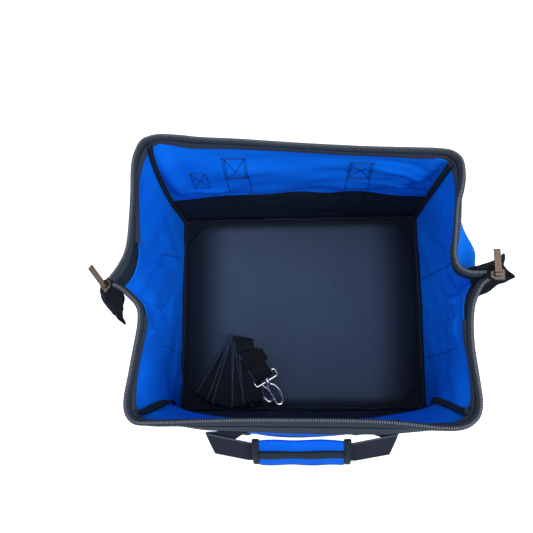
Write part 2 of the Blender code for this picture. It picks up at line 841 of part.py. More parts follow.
def make_handle_leg(side_name, end_name, wall):
    """A webbing leg sewn up the outside of the wall."""
    x = ENDS[end_name] * HANDLE_X
    out = HALF_CLOTH + GAP
    bm = bmesh.new()
    x_range = (x - WEBBING / 2, x + WEBBING / 2)
    z_range = (BAND_TOP_Z + 2 * GAP, LEG_TOP_Z)
    add_wall_patch(bm, SIDES[side_name], x_range, z_range, (out, out + WEBBING_THICK), LEG_COLUMNS, WALL_ROWS)
    add_mesh(f"{side_name}_handle_leg_{end_name}", bm, black_webbing(), wall)


def handle_plane(side, droop):
    """Outward and face directions of the handle's plane."""
    v = Vector((0.0, side * math.cos(droop), -math.sin(droop)))
    n = Vector((0.0, side * math.sin(droop), math.cos(droop)))
    return v, n


def make_handle(side_name, droop, axis):
    """The free loop of webbing: up from one leg, folded at each corner, with the grip between."""
    side = SIDES[side_name]
    hinge = handle_hinge(side)
    v, n = handle_plane(side, droop)
    x = Vector((1, 0, 0))
    plan = [
        (-HANDLE_X, 0.0),
        (-HANDLE_CORNER_X, HANDLE_CORNER_OUT),
        (-WRAP_LENGTH / 2 - GRIP_MARGIN, HANDLE_GRIP_OUT),
        (WRAP_LENGTH / 2 + GRIP_MARGIN, HANDLE_GRIP_OUT),
        (HANDLE_CORNER_X, HANDLE_CORNER_OUT),
        (HANDLE_X, 0.0),
    ]
    points = [hinge + x * px + v * pv for px, pv in plan]
    up = x.cross(v).normalized()
    rise = STRAP_PITCH * math.copysign(1.0, up.dot(n))
    first = up.cross((points[1] - points[0]).normalized())
    end_across = x * math.copysign(WEBBING / 2, first.x)
    stations = folded_stations(points, WEBBING, up, (rise, -rise), (end_across, end_across))
    bm = bmesh.new()
    add_ribbon(bm, stations, WEBBING_THICK)
    add_mesh(f"{side_name}_handle_webbing", bm, black_webbing(), axis)


def wrap_section(half_v, half_n, steps):
    """An oval section of the wrap as (v, n) pairs."""
    turns = [2 * math.pi * i / steps for i in range(steps)]
    return [(half_v * math.cos(t), half_n * math.sin(t)) for t in turns]


def grip_centre(side, droop):
    v, n = handle_plane(side, droop)
    return handle_hinge(side) + v * HANDLE_GRIP_OUT + n * STRAP_PITCH


def make_grip_wrap(axis):
    """The padded sleeve round the front handle's grip."""
    v, n = handle_plane(-1, HANDLE_DROOP)
    centre = grip_centre(-1, HANDLE_DROOP)
    start = centre - Vector((WRAP_LENGTH / 2, 0, 0))
    steps = 4 * ARC_STEPS
    outer = wrap_section(WRAP_WIDTH / 2, WRAP_THICK / 2, steps)
    hole_v, hole_n = WEBBING / 2 + GAP, WEBBING_THICK / 2 + GAP
    hole = [(-hole_v, -hole_n), (hole_v, -hole_n), (hole_v, hole_n), (-hole_v, hole_n)]
    bm = bmesh.new()
    place = [[start + v * a + n * b for a, b in loop] for loop in (outer, hole)]
    add_extrusion(bm, place[0], [place[1]], Vector((WRAP_LENGTH, 0, 0)))
    add_mesh("grip_wrap", bm, blue_cloth(), axis)


def flap_hinge():
    """The line along which the wrap's flap is sewn: on the wrap's inner upper side."""
    v, n = handle_plane(-1, HANDLE_DROOP)
    a, b = flap_point(0.0, GAP + FLAP_THICK / 2)
    return grip_centre(-1, HANDLE_DROOP) + v * a + n * b


def flap_point(share, out):
    """A (v, n) point on the flap: it starts on the wrap's upper side and passes round its outer edge."""
    turn = FLAP_START - FLAP_SWEEP * share
    return ((WRAP_WIDTH / 2 + out) * math.cos(turn), (WRAP_THICK / 2 + out) * math.sin(turn))


def make_grip_flap(axis):
    """The flap that wraps over the sleeve and closes on its underside."""
    v, n = handle_plane(-1, HANDLE_DROOP)
    start = grip_centre(-1, HANDLE_DROOP) - Vector((WRAP_LENGTH / 2 - GAP, 0, 0))
    shares = spread(0.0, 1.0, 2 * ARC_STEPS)
    outline = [flap_point(s, GAP + FLAP_THICK) for s in shares]
    outline += [flap_point(s, GAP) for s in reversed(shares)]
    bm = bmesh.new()
    loop = [start + v * a + n * b for a, b in outline]
    add_extrusion(bm, loop, [], Vector((WRAP_LENGTH - 2 * GAP, 0, 0)))
    add_mesh("grip_flap", bm, blue_cloth(), axis)


# Strap rings


def ring_centre(side_name):
    side = SIDES[side_name]
    x = RING_SIDES[side_name] * RING_TAB_X
    hole = RING_WIRE / 2 + GAP
    out = HALF_CLOTH + GAP + WEBBING_THICK + hole
    z = RING_TAB_TOP_Z
    return Vector((x, wall_y(side, RING_TAB_X - RING_TAB_WIDTH / 2, z, out), z))


def make_ring_tab(side_name, wall):
    """A short webbing tab, sewn to the wall and rolled round the ring's straight bar."""
    side = SIDES[side_name]
    centre = ring_centre(side_name)
    sewn = HALF_CLOTH + GAP + WEBBING_THICK
    inner_x = RING_TAB_X - RING_TAB_WIDTH / 2
    low = Vector((centre.x, wall_y(side, inner_x, RING_TAB_BOTTOM_Z, sewn), RING_TAB_BOTTOM_Z))
    u = (low - centre).normalized()
    v = Vector((1, 0, 0)).cross(u)
    v = v if v.y * side > 0 else -v
    bm = bmesh.new()
    hole = RING_WIRE / 2 + GAP
    add_rolled_strip(bm, centre, hole, WEBBING_THICK, (low - centre).length, u, v, RING_TAB_WIDTH)
    add_mesh(f"{side_name}_ring_tab", bm, black_webbing(), wall)


def make_d_ring(side_name, axis):
    """A D of round wire that hangs down from its bar in the tab."""
    centre = ring_centre(side_name)
    half = RING_INNER_WIDTH / 2 + RING_WIRE / 2
    droop = Vector((0.0, SIDES[side_name] * math.sin(RING_LEAN), -math.cos(RING_LEAN)))
    path = [centre + Vector((-half, 0, 0)), centre + Vector((half, 0, 0))]
    reach = RING_INNER_HEIGHT + RING_WIRE
    for turn in spread(0.0, math.pi, 2 * ARC_STEPS):
        across = half * math.cos(turn)
        path.append(centre + Vector((across, 0, 0)) + droop * (reach - half + half * math.sin(turn)))
    bm = bmesh.new()
    add_ring_wire(bm, path, RING_WIRE / 2)
    add_mesh(f"{side_name}_d_ring", bm, plated_steel(), axis, smooth=True)


# Shoulder strap and hooks


def strap_points():
    """The strap's middle line in its lowest layer. Its lower end rises to its hook."""
    low = FLOOR_TOP_Z + GAP + STRAP_THICK / 2
    corner = Vector((-HALF_WIDTH, -HALF_DEPTH, low))
    points = [corner + Vector((x, y, 0.0)) for x, y in STRAP_FOLDS]
    for point in points[:2]:
        point.z += STRAP_LOW_END_RISE
    return points


def roll_rise():
    """Height between the strap and its sewn-back end, which pass under and over a hook's bail."""
    return BAIL_WIRE + 2 * GAP + STRAP_THICK


def make_strap(axis):
    """One unbroken ribbon, folded on itself, with each end turned back round its hook's bail."""
    up = Vector((0, 0, 1))
    points = [point - up * roll_rise() for point in strap_points()]
    low_hem = points[0] + (points[1] - points[0]).normalized() * STRAP_HEM
    high_hem = points[-1] + (points[-2] - points[-1]).normalized() * STRAP_HEM
    rises = [roll_rise(), *[STRAP_PITCH] * STRAP_FOLD_COUNT, roll_rise()]
    stations = folded_stations([low_hem, *points, high_hem], STRAP_WIDTH, up, rises)
    bm = bmesh.new()
    add_ribbon(bm, stations, STRAP_THICK)
    add_mesh("shoulder_strap", bm, black_webbing(), axis)


def strap_length():
    points = strap_points()
    return sum((b - a).length for a, b in zip(points, points[1:]))


def make_glide(axis):
    """The three-bar slide that sets the strap's length, threaded on its uppermost long run."""
    points = strap_points()
    lift = Vector((0, 0, STRAP_PITCH * STRAP_FOLD_COUNT))
    start, stop = points[-2] + lift, points[-1] + lift
    along = (stop - start).normalized()
    across = Vector((0, 0, 1)).cross(along)
    up = Vector((0, 0, 1))
    centre = start.lerp(stop, GLIDE_ALONG_SHARE)
    slot = STRAP_WIDTH / 2 + GAP
    thick = STRAP_THICK / 2 + GAP
    outline = [(slot + GLIDE_BAR, thick + GLIDE_BAR)]
    outline += [(-slot - GLIDE_BAR, thick + GLIDE_BAR), (-slot - GLIDE_BAR, -thick), (-slot, -thick)]
    outline += [(-slot, thick), (slot, thick), (slot, -thick), (slot + GLIDE_BAR, -thick)]
    loop = [centre - along * GLIDE_LENGTH / 2 + across * a + up * b for a, b in outline]
    bm = bmesh.new()
    add_extrusion(bm, loop, [], along * GLIDE_LENGTH)
    add_mesh("strap_glide", bm, black_plastic(), axis)


def hook_frame(which):
    """Local frame of a snap hook: x runs from the strap's end to the hook's nose, z is its flat face."""
    points = strap_points()
    if which == "upper":
        end, before, tilt, roll = points[-1], points[-2], UPPER_HOOK_TILT, 0.0
        end = end + Vector((0, 0, STRAP_PITCH * STRAP_FOLD_COUNT + roll_rise() / 2))
    else:
        end, before, tilt, roll = points[0], points[1], 0.0, LOWER_HOOK_ROLL
        end = end - Vector((0, 0, roll_rise() / 2))
    run = end - before
    turn = Matrix.Rotation(math.atan2(run.y, run.x), 4, "Z") @ Matrix.Rotation(tilt, 4, "Y")
    return Matrix.Translation(end) @ turn, Matrix.Rotation(roll, 4, "X")


def wire_mesh(name, path, radius, axis, closed, flat=(0, 0, 1)):
    """A round wire in its joint's local frame."""
    bm = bmesh.new()
    add_ring_wire(bm, path, radius, closed=closed, flat=flat)
    bm.transform(axis.matrix_world)
    return add_mesh(name, bm, plated_steel(), axis, smooth=True)


def turned_mesh(name, profile, axis, bore=0.0):
    """A piece turned about its joint's local x, from (x, radius) pairs, with an optional bore."""
    y, z = Vector((0, 1, 0)), Vector((0, 0, 1))
    steps = 2 * WIRE_SIDES
    bm = bmesh.new()
    rings = [circle(Vector((x, 0, 0)), radius, y, z, steps) for x, radius in profile]
    if bore:
        reach = Vector((profile[-1][0] - profile[0][0], 0, 0))
        inner = circle(Vector((profile[0][0], 0, 0)), bore, y, z, steps)
        add_extrusion(bm, rings[0], [inner], reach)
    else:
        add_loft(bm, rings)
    bm.transform(axis.matrix_world)
    return add_mesh(name, bm, plated_steel(), axis, smooth=True)


def cut_away(base, tool):
    tool.hide_render = True
    tool.display_type = "WIRE"
    cut = base.modifiers.new(f"cut_{tool.name}", "BOOLEAN")
    cut.operation = "DIFFERENCE"
    cut.object = tool


def make_bail(which, axis):
    """A wire loop for the webbing, with a bored eye at its middle for the swivel."""
    half = STRAP_WIDTH / 2 + GAP + BAIL_WIRE
    outline = rounded_rectangle(BAIL_DEPTH / 2, half, BAIL_WIRE, 2)
    path = [(x + BAIL_DEPTH / 2, y, 0.0) for x, y in outline]
    loop = wire_mesh(f"{which}_hook_bail", path, BAIL_WIRE / 2, axis, closed=True)
    face, beyond = BAIL_DEPTH - EYE_LENGTH / 2, BAIL_DEPTH + EYE_LENGTH / 2
    eye_profile = [(face, SWIVEL_RADIUS), (beyond, SWIVEL_RADIUS)]
    unite(loop, turned_mesh(f"{which}_eye_guide", eye_profile, axis))
    hole = PIN_RADIUS + GAP
    drill = [(face - EYE_LENGTH, hole), (beyond + EYE_LENGTH, hole)]
    cut_away(loop, turned_mesh(f"{which}_bore_guide", drill, axis))


def hook_point(turn):
    """A point of the hook's oval middle line, at a turn from its nose, in the hook's plane."""
    start = BAIL_DEPTH + EYE_LENGTH / 2 + GAP + COLLAR_LENGTH
    half_x, half_y = (HOOK_LENGTH - HOOK_WIRE) / 2, (HOOK_WIDTH - HOOK_WIRE) / 2
    return Vector((start + half_x * (1.0 + math.cos(turn)), half_y * math.sin(turn), 0.0))


def gate_span():
    """The two wire ends that the gate closes between, level in the hook's plane."""
    stub = Vector((HOOK_WIRE / 2, 0.0, 0.0))
    heel = hook_point(math.pi * (1.0 + HOOK_MOUTH_SHARE)) + stub
    nose = hook_point(-math.pi * HOOK_MOUTH_SHARE) - stub
    return heel, nose


def gate_pivot():
    return gate_span()[0] + Vector((GAP + GATE_WIRE / 2, 0.0, 0.0))


def make_hook(which, axis):
    """A turned swivel pin, headed inside the bail, that carries the hook's open oval of wire."""
    face, beyond = BAIL_DEPTH - EYE_LENGTH / 2, BAIL_DEPTH + EYE_LENGTH / 2
    profile = [
        (face - GAP - PIN_HEAD, HEAD_RADIUS),
        (face - GAP, HEAD_RADIUS),
        (face - GAP, PIN_RADIUS),
        (beyond + GAP, PIN_RADIUS),
        (beyond + GAP, SWIVEL_RADIUS),
        (beyond + GAP + COLLAR_LENGTH + HOOK_WIRE / 2, HOOK_WIRE / 2),
    ]
    pin = turned_mesh(f"{which}_hook_body", profile, axis)
    heel, nose = gate_span()
    turns = spread(math.pi * (1.0 + HOOK_MOUTH_SHARE), -math.pi * HOOK_MOUTH_SHARE, 5 * ARC_STEPS)
    curve = [heel, *[hook_point(turn) for turn in turns], nose]
    unite(pin, wire_mesh(f"{which}_wire_guide", curve, HOOK_WIRE / 2, axis, closed=False))


def make_gate(which, axis):
    """The straight sprung gate that closes the hook, with eased ends, in its own frame at the pivot."""
    heel, nose = gate_span()
    radius = GATE_WIRE / 2
    end_radius = GATE_END_SHARE * radius
    ease = radius - end_radius
    reach = (nose - heel).x - 2 * GAP - radius
    profile = [(-radius, end_radius), (ease - radius, radius), (reach - ease, radius), (reach, end_radius)]
    turned_mesh(f"{which}_hook_gate", profile, axis)


def make_snap_hook(which, strap):
    frame, roll = hook_frame(which)
    bail = empty(f"{which}_bail_axis", parent=strap, rotation=frame)
    hook = empty(f"{which}_swivel_axis", parent=bail, rotation=roll)
    gate = empty(f"{which}_gate_axis", gate_pivot(), hook)
    bpy.context.view_layer.update()
    make_bail(which, bail)
    make_hook(which, hook)
    make_gate(which, gate)


def main():
    clear_scene()
    root = empty("bag")
    make_base(root)
    make_board(root)
    make_floor_piping(root)
    for end_name in ENDS:
        make_end_panel(end_name, root)
        make_pocket(end_name, root)
        make_zip_end(end_name, root)
    for side_name, side in SIDES.items():
        for end_name in ENDS:
            make_corner_binding(side_name, end_name, root)
        wall = empty(f"{side_name}_wall_axis", (0.0, side * HALF_DEPTH, CREASE_Z), root)
        out = side * wall_lean(side, 0.0, HEIGHT)
        rim = empty(f"{side_name}_rim_axis", (0.0, out, HEIGHT - CREASE_Z), wall)
        bpy.context.view_layer.update()
        make_wall_pair(side_name, root, wall)
        for end_name in ENDS:
            make_handle_leg(side_name, end_name, wall)
        make_ring_tab(side_name, wall)
        make_hem(side_name, rim)
        make_zip_tape(side_name, rim)
        make_frame_wire(side_name, rim)
        droop = HANDLE_DROOP if side < 0 else REAR_HANDLE_DROOP
        local = handle_hinge(side) - wall.matrix_world.to_translation()
        handle = empty(f"{side_name}_handle_axis", local, wall)
        local = ring_centre(side_name) - wall.matrix_world.to_translation()
        ring = empty(f"{side_name}_ring_axis", local, wall)
        bpy.context.view_layer.update()
        make_handle(side_name, droop, handle)
        make_d_ring(side_name, ring)
        if side < 0:
            make_grip_wrap(handle)
            flap = empty("grip_flap_axis", flap_hinge() - handle_hinge(side), handle)
            bpy.context.view_layer.update()
            make_grip_flap(flap)
    strap = empty("strap_lift_axis", parent=root)
    bpy.context.view_layer.update()
    make_strap(strap)
    make_glide(strap)
    for which in ("lower", "upper"):
        make_snap_hook(which, strap)
    print("strap length, m", round(strap_length(), 3))


main()
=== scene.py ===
"""Looks of the large-mouth soft tool bag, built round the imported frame.

Metres, +Z up, in the frame of the part: -Y is the front with the padded handle, +X the right end.
Cloth pieces are grids of points worked out from one wall, end or rim surface, so that neighbours meet.
In tables, -1 stands for the front wall or left end, and 1 for the rear wall or right end.
"""

import json
import math

import bmesh
import bpy
import numpy as np
from mathutils import Matrix, Vector


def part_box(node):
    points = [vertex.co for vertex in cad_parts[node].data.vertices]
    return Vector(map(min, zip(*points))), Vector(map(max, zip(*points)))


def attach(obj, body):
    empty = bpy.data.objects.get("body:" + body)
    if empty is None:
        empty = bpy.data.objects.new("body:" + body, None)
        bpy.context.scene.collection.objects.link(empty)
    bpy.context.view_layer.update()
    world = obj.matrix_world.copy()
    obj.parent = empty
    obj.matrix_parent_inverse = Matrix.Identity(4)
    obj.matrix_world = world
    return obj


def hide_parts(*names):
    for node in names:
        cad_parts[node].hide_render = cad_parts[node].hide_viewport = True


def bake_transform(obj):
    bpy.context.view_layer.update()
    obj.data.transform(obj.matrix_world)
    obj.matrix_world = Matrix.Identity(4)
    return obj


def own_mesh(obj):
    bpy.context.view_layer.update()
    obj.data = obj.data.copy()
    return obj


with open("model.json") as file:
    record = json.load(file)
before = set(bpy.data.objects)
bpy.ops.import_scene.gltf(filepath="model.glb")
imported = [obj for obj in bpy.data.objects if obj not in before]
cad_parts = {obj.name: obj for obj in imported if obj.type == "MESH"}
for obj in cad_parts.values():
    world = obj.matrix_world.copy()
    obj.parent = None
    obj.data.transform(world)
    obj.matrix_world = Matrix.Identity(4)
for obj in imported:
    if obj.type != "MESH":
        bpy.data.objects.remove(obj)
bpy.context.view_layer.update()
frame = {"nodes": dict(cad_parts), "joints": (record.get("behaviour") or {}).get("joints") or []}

SIDES = {"front": -1, "rear": 1}
ENDS = {"left": -1, "right": 1}
JOINTS = {joint["name"]: joint for joint in frame["joints"]}

# Places taken from the frame
CORNER_LOW, CORNER_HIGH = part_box("corner_binding_rear_right")
BASE_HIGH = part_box("base_panel")[1]
BOARD_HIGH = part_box("base_board")[1]
HALF_WIDTH = (CORNER_LOW.x + CORNER_HIGH.x) / 2
HALF_DEPTH = BASE_HIGH.y
WALL_LOW_Z = CORNER_LOW.z
FLOOR_TOP_Z = BOARD_HIGH.z
BAND_TOP_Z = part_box("rear_lower_band")[1].z
HEM_LOW_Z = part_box("rear_rim_hem")[0].z
HEM_TOP_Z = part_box("rear_rim_hem")[1].z
TEETH_TOP_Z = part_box("rear_zip_tape")[1].z
CREASE_Z = JOINTS["front_wall_fold"]["pos_m"][2]
HEM_TUCK = 0.0015
WALL_TOP_Z = HEM_LOW_Z + HEM_TUCK

# Cloth and thread
CLOTH = 0.0014
LINING = 0.0012
WEB = 0.0018
WEB_GAP = 0.0004
SHARP = math.radians(48.0)
STITCH_LENGTH = 0.0030
STITCH_GAP = 0.0009
STITCH_PROFILE = [(0.0, 0.45), (0.25, 1.0), (0.75, 1.0), (1.0, 0.45)]
THREAD_RADIUS = 0.00045
FINE_THREAD_RADIUS = 0.00030

# Rim of the mouth in plan: x, y and how far its lower edge leans into the bag, left to right
RIM_POINTS = {
    "rear": [
        (-0.2328, 0.0105, 0.013), (-0.2262, 0.0190, 0.015), (-0.2192, 0.0300, 0.014),
        (-0.2130, 0.0440, 0.010), (-0.2098, 0.0620, 0.006), (-0.2078, 0.0935, 0.001),
        (-0.2072, 0.1248, 0.000), (-0.2078, 0.1500, 0.001), (-0.2060, 0.1700, 0.003),
        (-0.1990, 0.1868, 0.004), (-0.1890, 0.1932, 0.003), (-0.1740, 0.1955, 0.001),
        (-0.1487, 0.1934, 0.002), (-0.1229, 0.1900, 0.002), (-0.0716, 0.1857, 0.000),
        (0.0042, 0.1781, -0.001), (0.0790, 0.1720, 0.000), (0.1284, 0.1692, 0.001),
        (0.1760, 0.1665, 0.002), (0.1930, 0.1625, 0.004), (0.2025, 0.1520, 0.006),
        (0.2036, 0.1325, 0.004), (0.2000, 0.1150, 0.000), (0.1944, 0.0970, -0.005),
        (0.1905, 0.0648, -0.005), (0.1880, 0.0464, -0.003), (0.1872, 0.0330, -0.001),
        (0.1915, 0.0190, 0.001), (0.2045, 0.0125, 0.003), (0.2262, 0.0125, 0.004),
    ],
    "front": [
        (-0.2285, 0.0052, 0.002), (-0.2161, -0.0015, 0.002), (-0.2062, -0.0100, 0.002),
        (-0.1975, -0.0190, 0.002), (-0.1932, -0.0300, 0.002), (-0.1932, -0.0480, 0.001),
        (-0.1974, -0.0760, 0.000), (-0.2020, -0.1045, 0.001), (-0.2068, -0.1330, 0.003),
        (-0.2050, -0.1500, 0.004), (-0.1955, -0.1596, 0.002), (-0.1780, -0.1608, -0.001),
        (-0.1500, -0.1602, -0.003), (-0.1200, -0.1592, -0.008), (-0.0600, -0.1580, -0.012),
        (0.0400, -0.1585, -0.014), (0.1000, -0.1605, -0.011), (0.1350, -0.1640, -0.005),
        (0.1600, -0.1668, 0.000), (0.1850, -0.1658, 0.002), (0.2010, -0.1560, 0.005),
        (0.2062, -0.1400, 0.004), (0.2048, -0.1190, 0.001), (0.2020, -0.0905, 0.000),
        (0.2008, -0.0744, 0.001), (0.2010, -0.0550, 0.002), (0.2025, -0.0380, 0.003),
        (0.2055, -0.0240, 0.005), (0.2115, -0.0110, 0.007), (0.2180, -0.0010, 0.007),
        (0.2262, 0.0052, 0.005),
    ],
}
RIM_CORNERS = {
    ("rear", "left"): (-0.1960, 0.1900),
    ("rear", "right"): (0.1985, 0.1585),
    ("front", "left"): (-0.2010, -0.1560),
    ("front", "right"): (0.1990, -0.1580),
}
RIM_COUNT = 300
CURVE_STEPS = 24
FOOT_INSET = 0.0008

# Wall shapes
BULGE = {-1: 0.0232, 1: 0.0030}
BULGE_POWER = 2
FULLNESS = {-1: 1.25, 1: 1.0}
REAR_FOLD_BULGE = 0.0075
REAR_FOLD_POWER = 0.7
REAR_FOLD_Z = 0.105
REAR_FOLD_REACH = 0.055
FRONT_LEAN_POWER = 6.0
REAR_LEAN_POWER = {"left": 3.0, "right": 1.5}
TOP_SHARE = 1.05
CORNER_INSET_X = 0.0015
CORNER_INSET_Y = 0.0010
WALL_RIPPLE = {-1: 0.0010, 1: 0.0015}
WALL_SEED = {-1: 11, 1: 23}
WALL_WAVES = {"longest": 0.110, "shortest": 0.030, "heading": math.pi / 2, "spread": 0.35}
WALL_FADE = (0.0, 0.03, 0.255, 0.279)
WALL_FADE_POWER = 0.5
UPPER_TOP_Z = WALL_TOP_Z + 0.002
WALL_COLUMNS = 96
BAND_ROWS = 36
UPPER_ROWS = 48
SEAM_ROWS = 5

# Where the corners are pushed in or out, and over what heights
BUCKLE = {
    ("front", "left"): (0.019, 0.017),
    ("front", "right"): (-0.018, 0.017),
    ("rear", "left"): (0.004, -0.003),
    ("rear", "right"): (-0.006, -0.006),
}
BUCKLE_Z = 0.180
BUCKLE_SPAN = 0.075
BUCKLE_REACH = 0.042
BUCKLE_FADE = (0.004, 0.060, 0.235, 0.280)

# End shapes
END_BULGE = {-1: 0.005, 1: 0.017}
END_BULGE_POWER = 1.2
END_BULGE_RISE_POWER = 0.8
FLARE_POWER = 3.5
END_RIPPLE = 0.0020
END_SEED = 31
END_WAVES = {"longest": 0.110, "shortest": 0.028, "heading": 0.25, "spread": 0.5}
END_FADE = (0.0, 0.02, 0.25, 0.279)
END_FADE_POWER = 0.4

# The right end's outer cloth hangs out in a pouch under the rim
POUCH_DEPTH = 0.0205
POUCH_Z = 0.252
POUCH_HEIGHT = 0.026
POUCH_Y = 0.030
POUCH_REACH = 0.050
POUCH_FADE = (0.256, 0.2785)

# Fold lines: start, stop, width and depth, over x and z, y and z, or x and y
REAR_CREASES = [
    ((0.105, 0.262), (0.192, 0.240), 0.0050, 0.0030), ((0.100, 0.240), (0.190, 0.218), 0.0045, -0.0034),
    ((0.112, 0.214), (0.185, 0.200), 0.0045, 0.0030), ((0.090, 0.186), (0.183, 0.176), 0.0050, -0.0032),
    ((0.120, 0.160), (0.190, 0.150), 0.0045, 0.0028), ((0.060, 0.140), (0.180, 0.128), 0.0050, -0.0026),
    ((-0.160, 0.168), (-0.100, 0.160), 0.0045, -0.0040),
    ((-0.186, 0.290), (-0.166, 0.150), 0.0110, -0.0090),
    ((0.190, 0.290), (0.140, 0.165), 0.0120, -0.0070), ((-0.130, 0.135), (-0.060, 0.128), 0.0050, 0.0024),
    ((-0.070, 0.120), (0.000, 0.112), 0.0045, -0.0022),
]
END_CREASES = {
    "left": [
        ((0.062, 0.150), (0.030, 0.235), 0.0050, -0.0062),
        ((0.075, 0.060), (0.055, 0.190), 0.0080, 0.0026),
        ((0.015, 0.090), (-0.035, 0.150), 0.0055, 0.0036),
        ((0.030, 0.060), (-0.020, 0.095), 0.0050, -0.0030),
        ((-0.012, 0.200), (-0.022, 0.120), 0.0060, -0.0060),
        ((-0.050, 0.235), (-0.044, 0.205), 0.0040, -0.0060),
        ((-0.070, 0.060), (-0.100, 0.200), 0.0090, 0.0026),
        ((-0.050, 0.030), (-0.125, 0.075), 0.0060, -0.0024),
    ],
    "right": [
        ((0.010, 0.150), (-0.040, 0.230), 0.0060, -0.0040),
        ((0.040, 0.100), (0.005, 0.200), 0.0070, 0.0030),
        ((-0.030, 0.225), (-0.062, 0.205), 0.0045, -0.0070),
        ((-0.005, 0.200), (-0.008, 0.150), 0.0060, -0.0055),
        ((0.040, 0.235), (0.030, 0.150), 0.0070, -0.0040),
        ((-0.015, 0.060), (-0.060, 0.130), 0.0070, 0.0026),
        ((0.110, 0.080), (0.070, 0.200), 0.0090, -0.0022),
        ((-0.100, 0.120), (-0.130, 0.220), 0.0080, 0.0050),
    ],
}
FLOOR_CREASES = [
    ((-0.185, 0.095), (-0.120, 0.150), 0.0060, 0.0022),
    ((-0.185, 0.120), (-0.150, 0.150), 0.0045, 0.0018), ((0.020, 0.090), (0.070, 0.020), 0.0060, 0.0024),
    ((0.070, 0.020), (0.120, -0.070), 0.0070, 0.0022), ((-0.020, 0.040), (0.030, -0.050), 0.0060, 0.0018),
    ((-0.050, 0.080), (-0.010, 0.020), 0.0060, 0.0018), ((0.130, 0.040), (0.160, -0.040), 0.0080, 0.0016),
]

# Base and floor
BASE_PROFILE = [
    (0.0, 0.0030), (0.0006, 0.0008), (0.0018, 0.0), (0.0034, 0.0), (0.0046, 0.0010), (0.0052, 0.0030),
]
BASE_CORNER = 0.012
BASE_SEAM_INSET = 0.009
BASE_SEAM_CORNER = 0.010
FLOOR_GRID = (170, 200)
FLOOR_INSET = 0.0030
FLOOR_UPTURN = 0.0060
FLOOR_UPTURN_REACH = 0.0045
FLOOR_SEED = 5
FLOOR_RIPPLE = 0.0008
FLOOR_WAVES = {"longest": 0.150, "shortest": 0.045, "heading": 2.2, "spread": 0.5}
FLOOR_WAVE_SHARE = 0.5
FLOOR_BORDER = 0.020
STRAP_PLACE_X = (-0.045, -0.015)
STRAP_PLACE_Y = (-0.045, -0.020)
BOARD_MARGIN = 0.006
BOARD_CHAMFER = 0.026
BOARD_STEP = 0.0016
BOARD_EDGE = 0.0015
PIPING_COUNT = 240
PIPING_INSET = 0.0050
PIPING_CORNER = 0.010
PIPING_HALVES = (0.0026, 0.0022)
PIPING_RISE = 0.0032
PIPING_SEED = 8
PIPING_WAVES = {"amount": 0.0006, "longest": 0.08, "shortest": 0.03}

# Seams on the walls
SEAM_HALF = 0.003
SEAM_THICK = 0.0010
HANDLE_HALF = 0.085
HANDLE_BOX_Z = (0.200, 0.255)
LEG_SEAM_HALF = 0.016
INNER_BOX_INSET = 0.003
RING_BOX_X = -0.139
RING_BOX_HALF = 0.011
RING_BOX_Z = (0.175, 0.222)
THREAD_DEPTH = {-1: 0.0015, 1: 0.0011}
LINE_STEP = 0.003
LEG_SEAM_ABOVE_BAND = 0.004
LEG_SEAM_BELOW_BAND = 0.002
LEG_SEAM_LOW_Z = 0.010

# Corner bindings; the front left one is pulled into a leaf
LEAF_LOW_Z = 0.192
LEAF_HEIGHT = 0.086
LEAF_HALF = 0.0052
LEAF_STEM_SHARE = 0.3
LEAF_POWER = 0.8
BINDING_HALF = 0.0044
BINDING_DEPTH = 0.0030
BINDING_INSET_X = 0.0020
BINDING_INSET_Y = 0.0040
BINDING_OVERLAP = 0.008
BINDING_ROUND_SHARE = 1.2
BINDING_SKEW_SHARE = 0.4
BINDING_ROWS = 30

# Ends: the standing part, and the halves above it
HALVES = {"rear": (0.0, 0.5), "front": (0.5, 1.0)}
STANDING_RISE = 0.078
STANDING_POWER = 1.2
LINING_OUT = -0.0012
LINING_GRID = (70, 56)
STANDING_OUT = 0.0010
STANDING_GRID = (30, 110)
GUSSET_OUT = 0.0024
GUSSET_GRID = (44, 60)
LINE_COUNT = 40
GUSSET_OVERLAP = 0.002

# Seams through the ends' linings: low y, top y and top height
POCKET_SEAMS = {
    "left": [(0.093, 0.072, 0.147), (-0.069, -0.064, 0.150)],
    "right": [(0.051, 0.045, 0.255), (-0.078, -0.074, 0.200)],
}
POCKET_SEAM_LOW_Z = 0.012
POCKET_SEAM_OUT = -0.0022

# Outer pockets
POCKET_SCOOP = 0.030
POCKET_STAND_OFF = 0.010
POCKET_OUT = 0.0040
POCKET_FULL_POWER = 0.7
POCKET_SEED = 60
POCKET_RIPPLE = 0.0008
POCKET_WAVES = {"longest": 0.07, "shortest": 0.02}
POCKET_BOUND = 0.010
POCKET_BOUND_OVER = 0.001
POCKET_BOUND_OUT = 0.0012
POCKET_BOUND_THICK = 0.0030
POCKET_COLUMNS = 70
POCKET_ROWS = 40
POCKET_BOUND_ROWS = 8

# Rim sections: how far outward of the rim line, and height
HEM_SECTION = [
    (0.0020, 0.2940), (0.0026, 0.2890), (0.0024, 0.2800), (0.0010, 0.2768), (-0.0010, 0.2768),
    (-0.0024, 0.2800), (-0.0026, 0.2890), (-0.0020, 0.2940), (0.0000, 0.2950),
]
TAPE_SECTION = [
    (-0.0034, 0.2918), (-0.0032, 0.2945), (-0.0022, 0.2962), (0.0000, 0.2968), (0.0022, 0.2962),
    (0.0032, 0.2945), (0.0034, 0.2918),
]
INNER_FACING = [(-0.0032, 0.2880), (-0.0034, 0.2850), (-0.0032, 0.2775)]
OUTER_FACING = [(0.0032, 0.2880), (0.0034, 0.2850), (0.0032, 0.2775)]
TAPE_THICK = 0.0009
FACING_THICK = 0.0010
FACING_START = 22
HEM_SEAM_OUT = 0.0040
HEM_SEAM_Z = 0.2790
RUCK = 0.0006
RUCK_SEED = 71
RUCK_WAVES = {"longest": 0.10, "shortest": 0.02}
TAIL_REACH = 0.06
TAIL_RUCK = 2.5
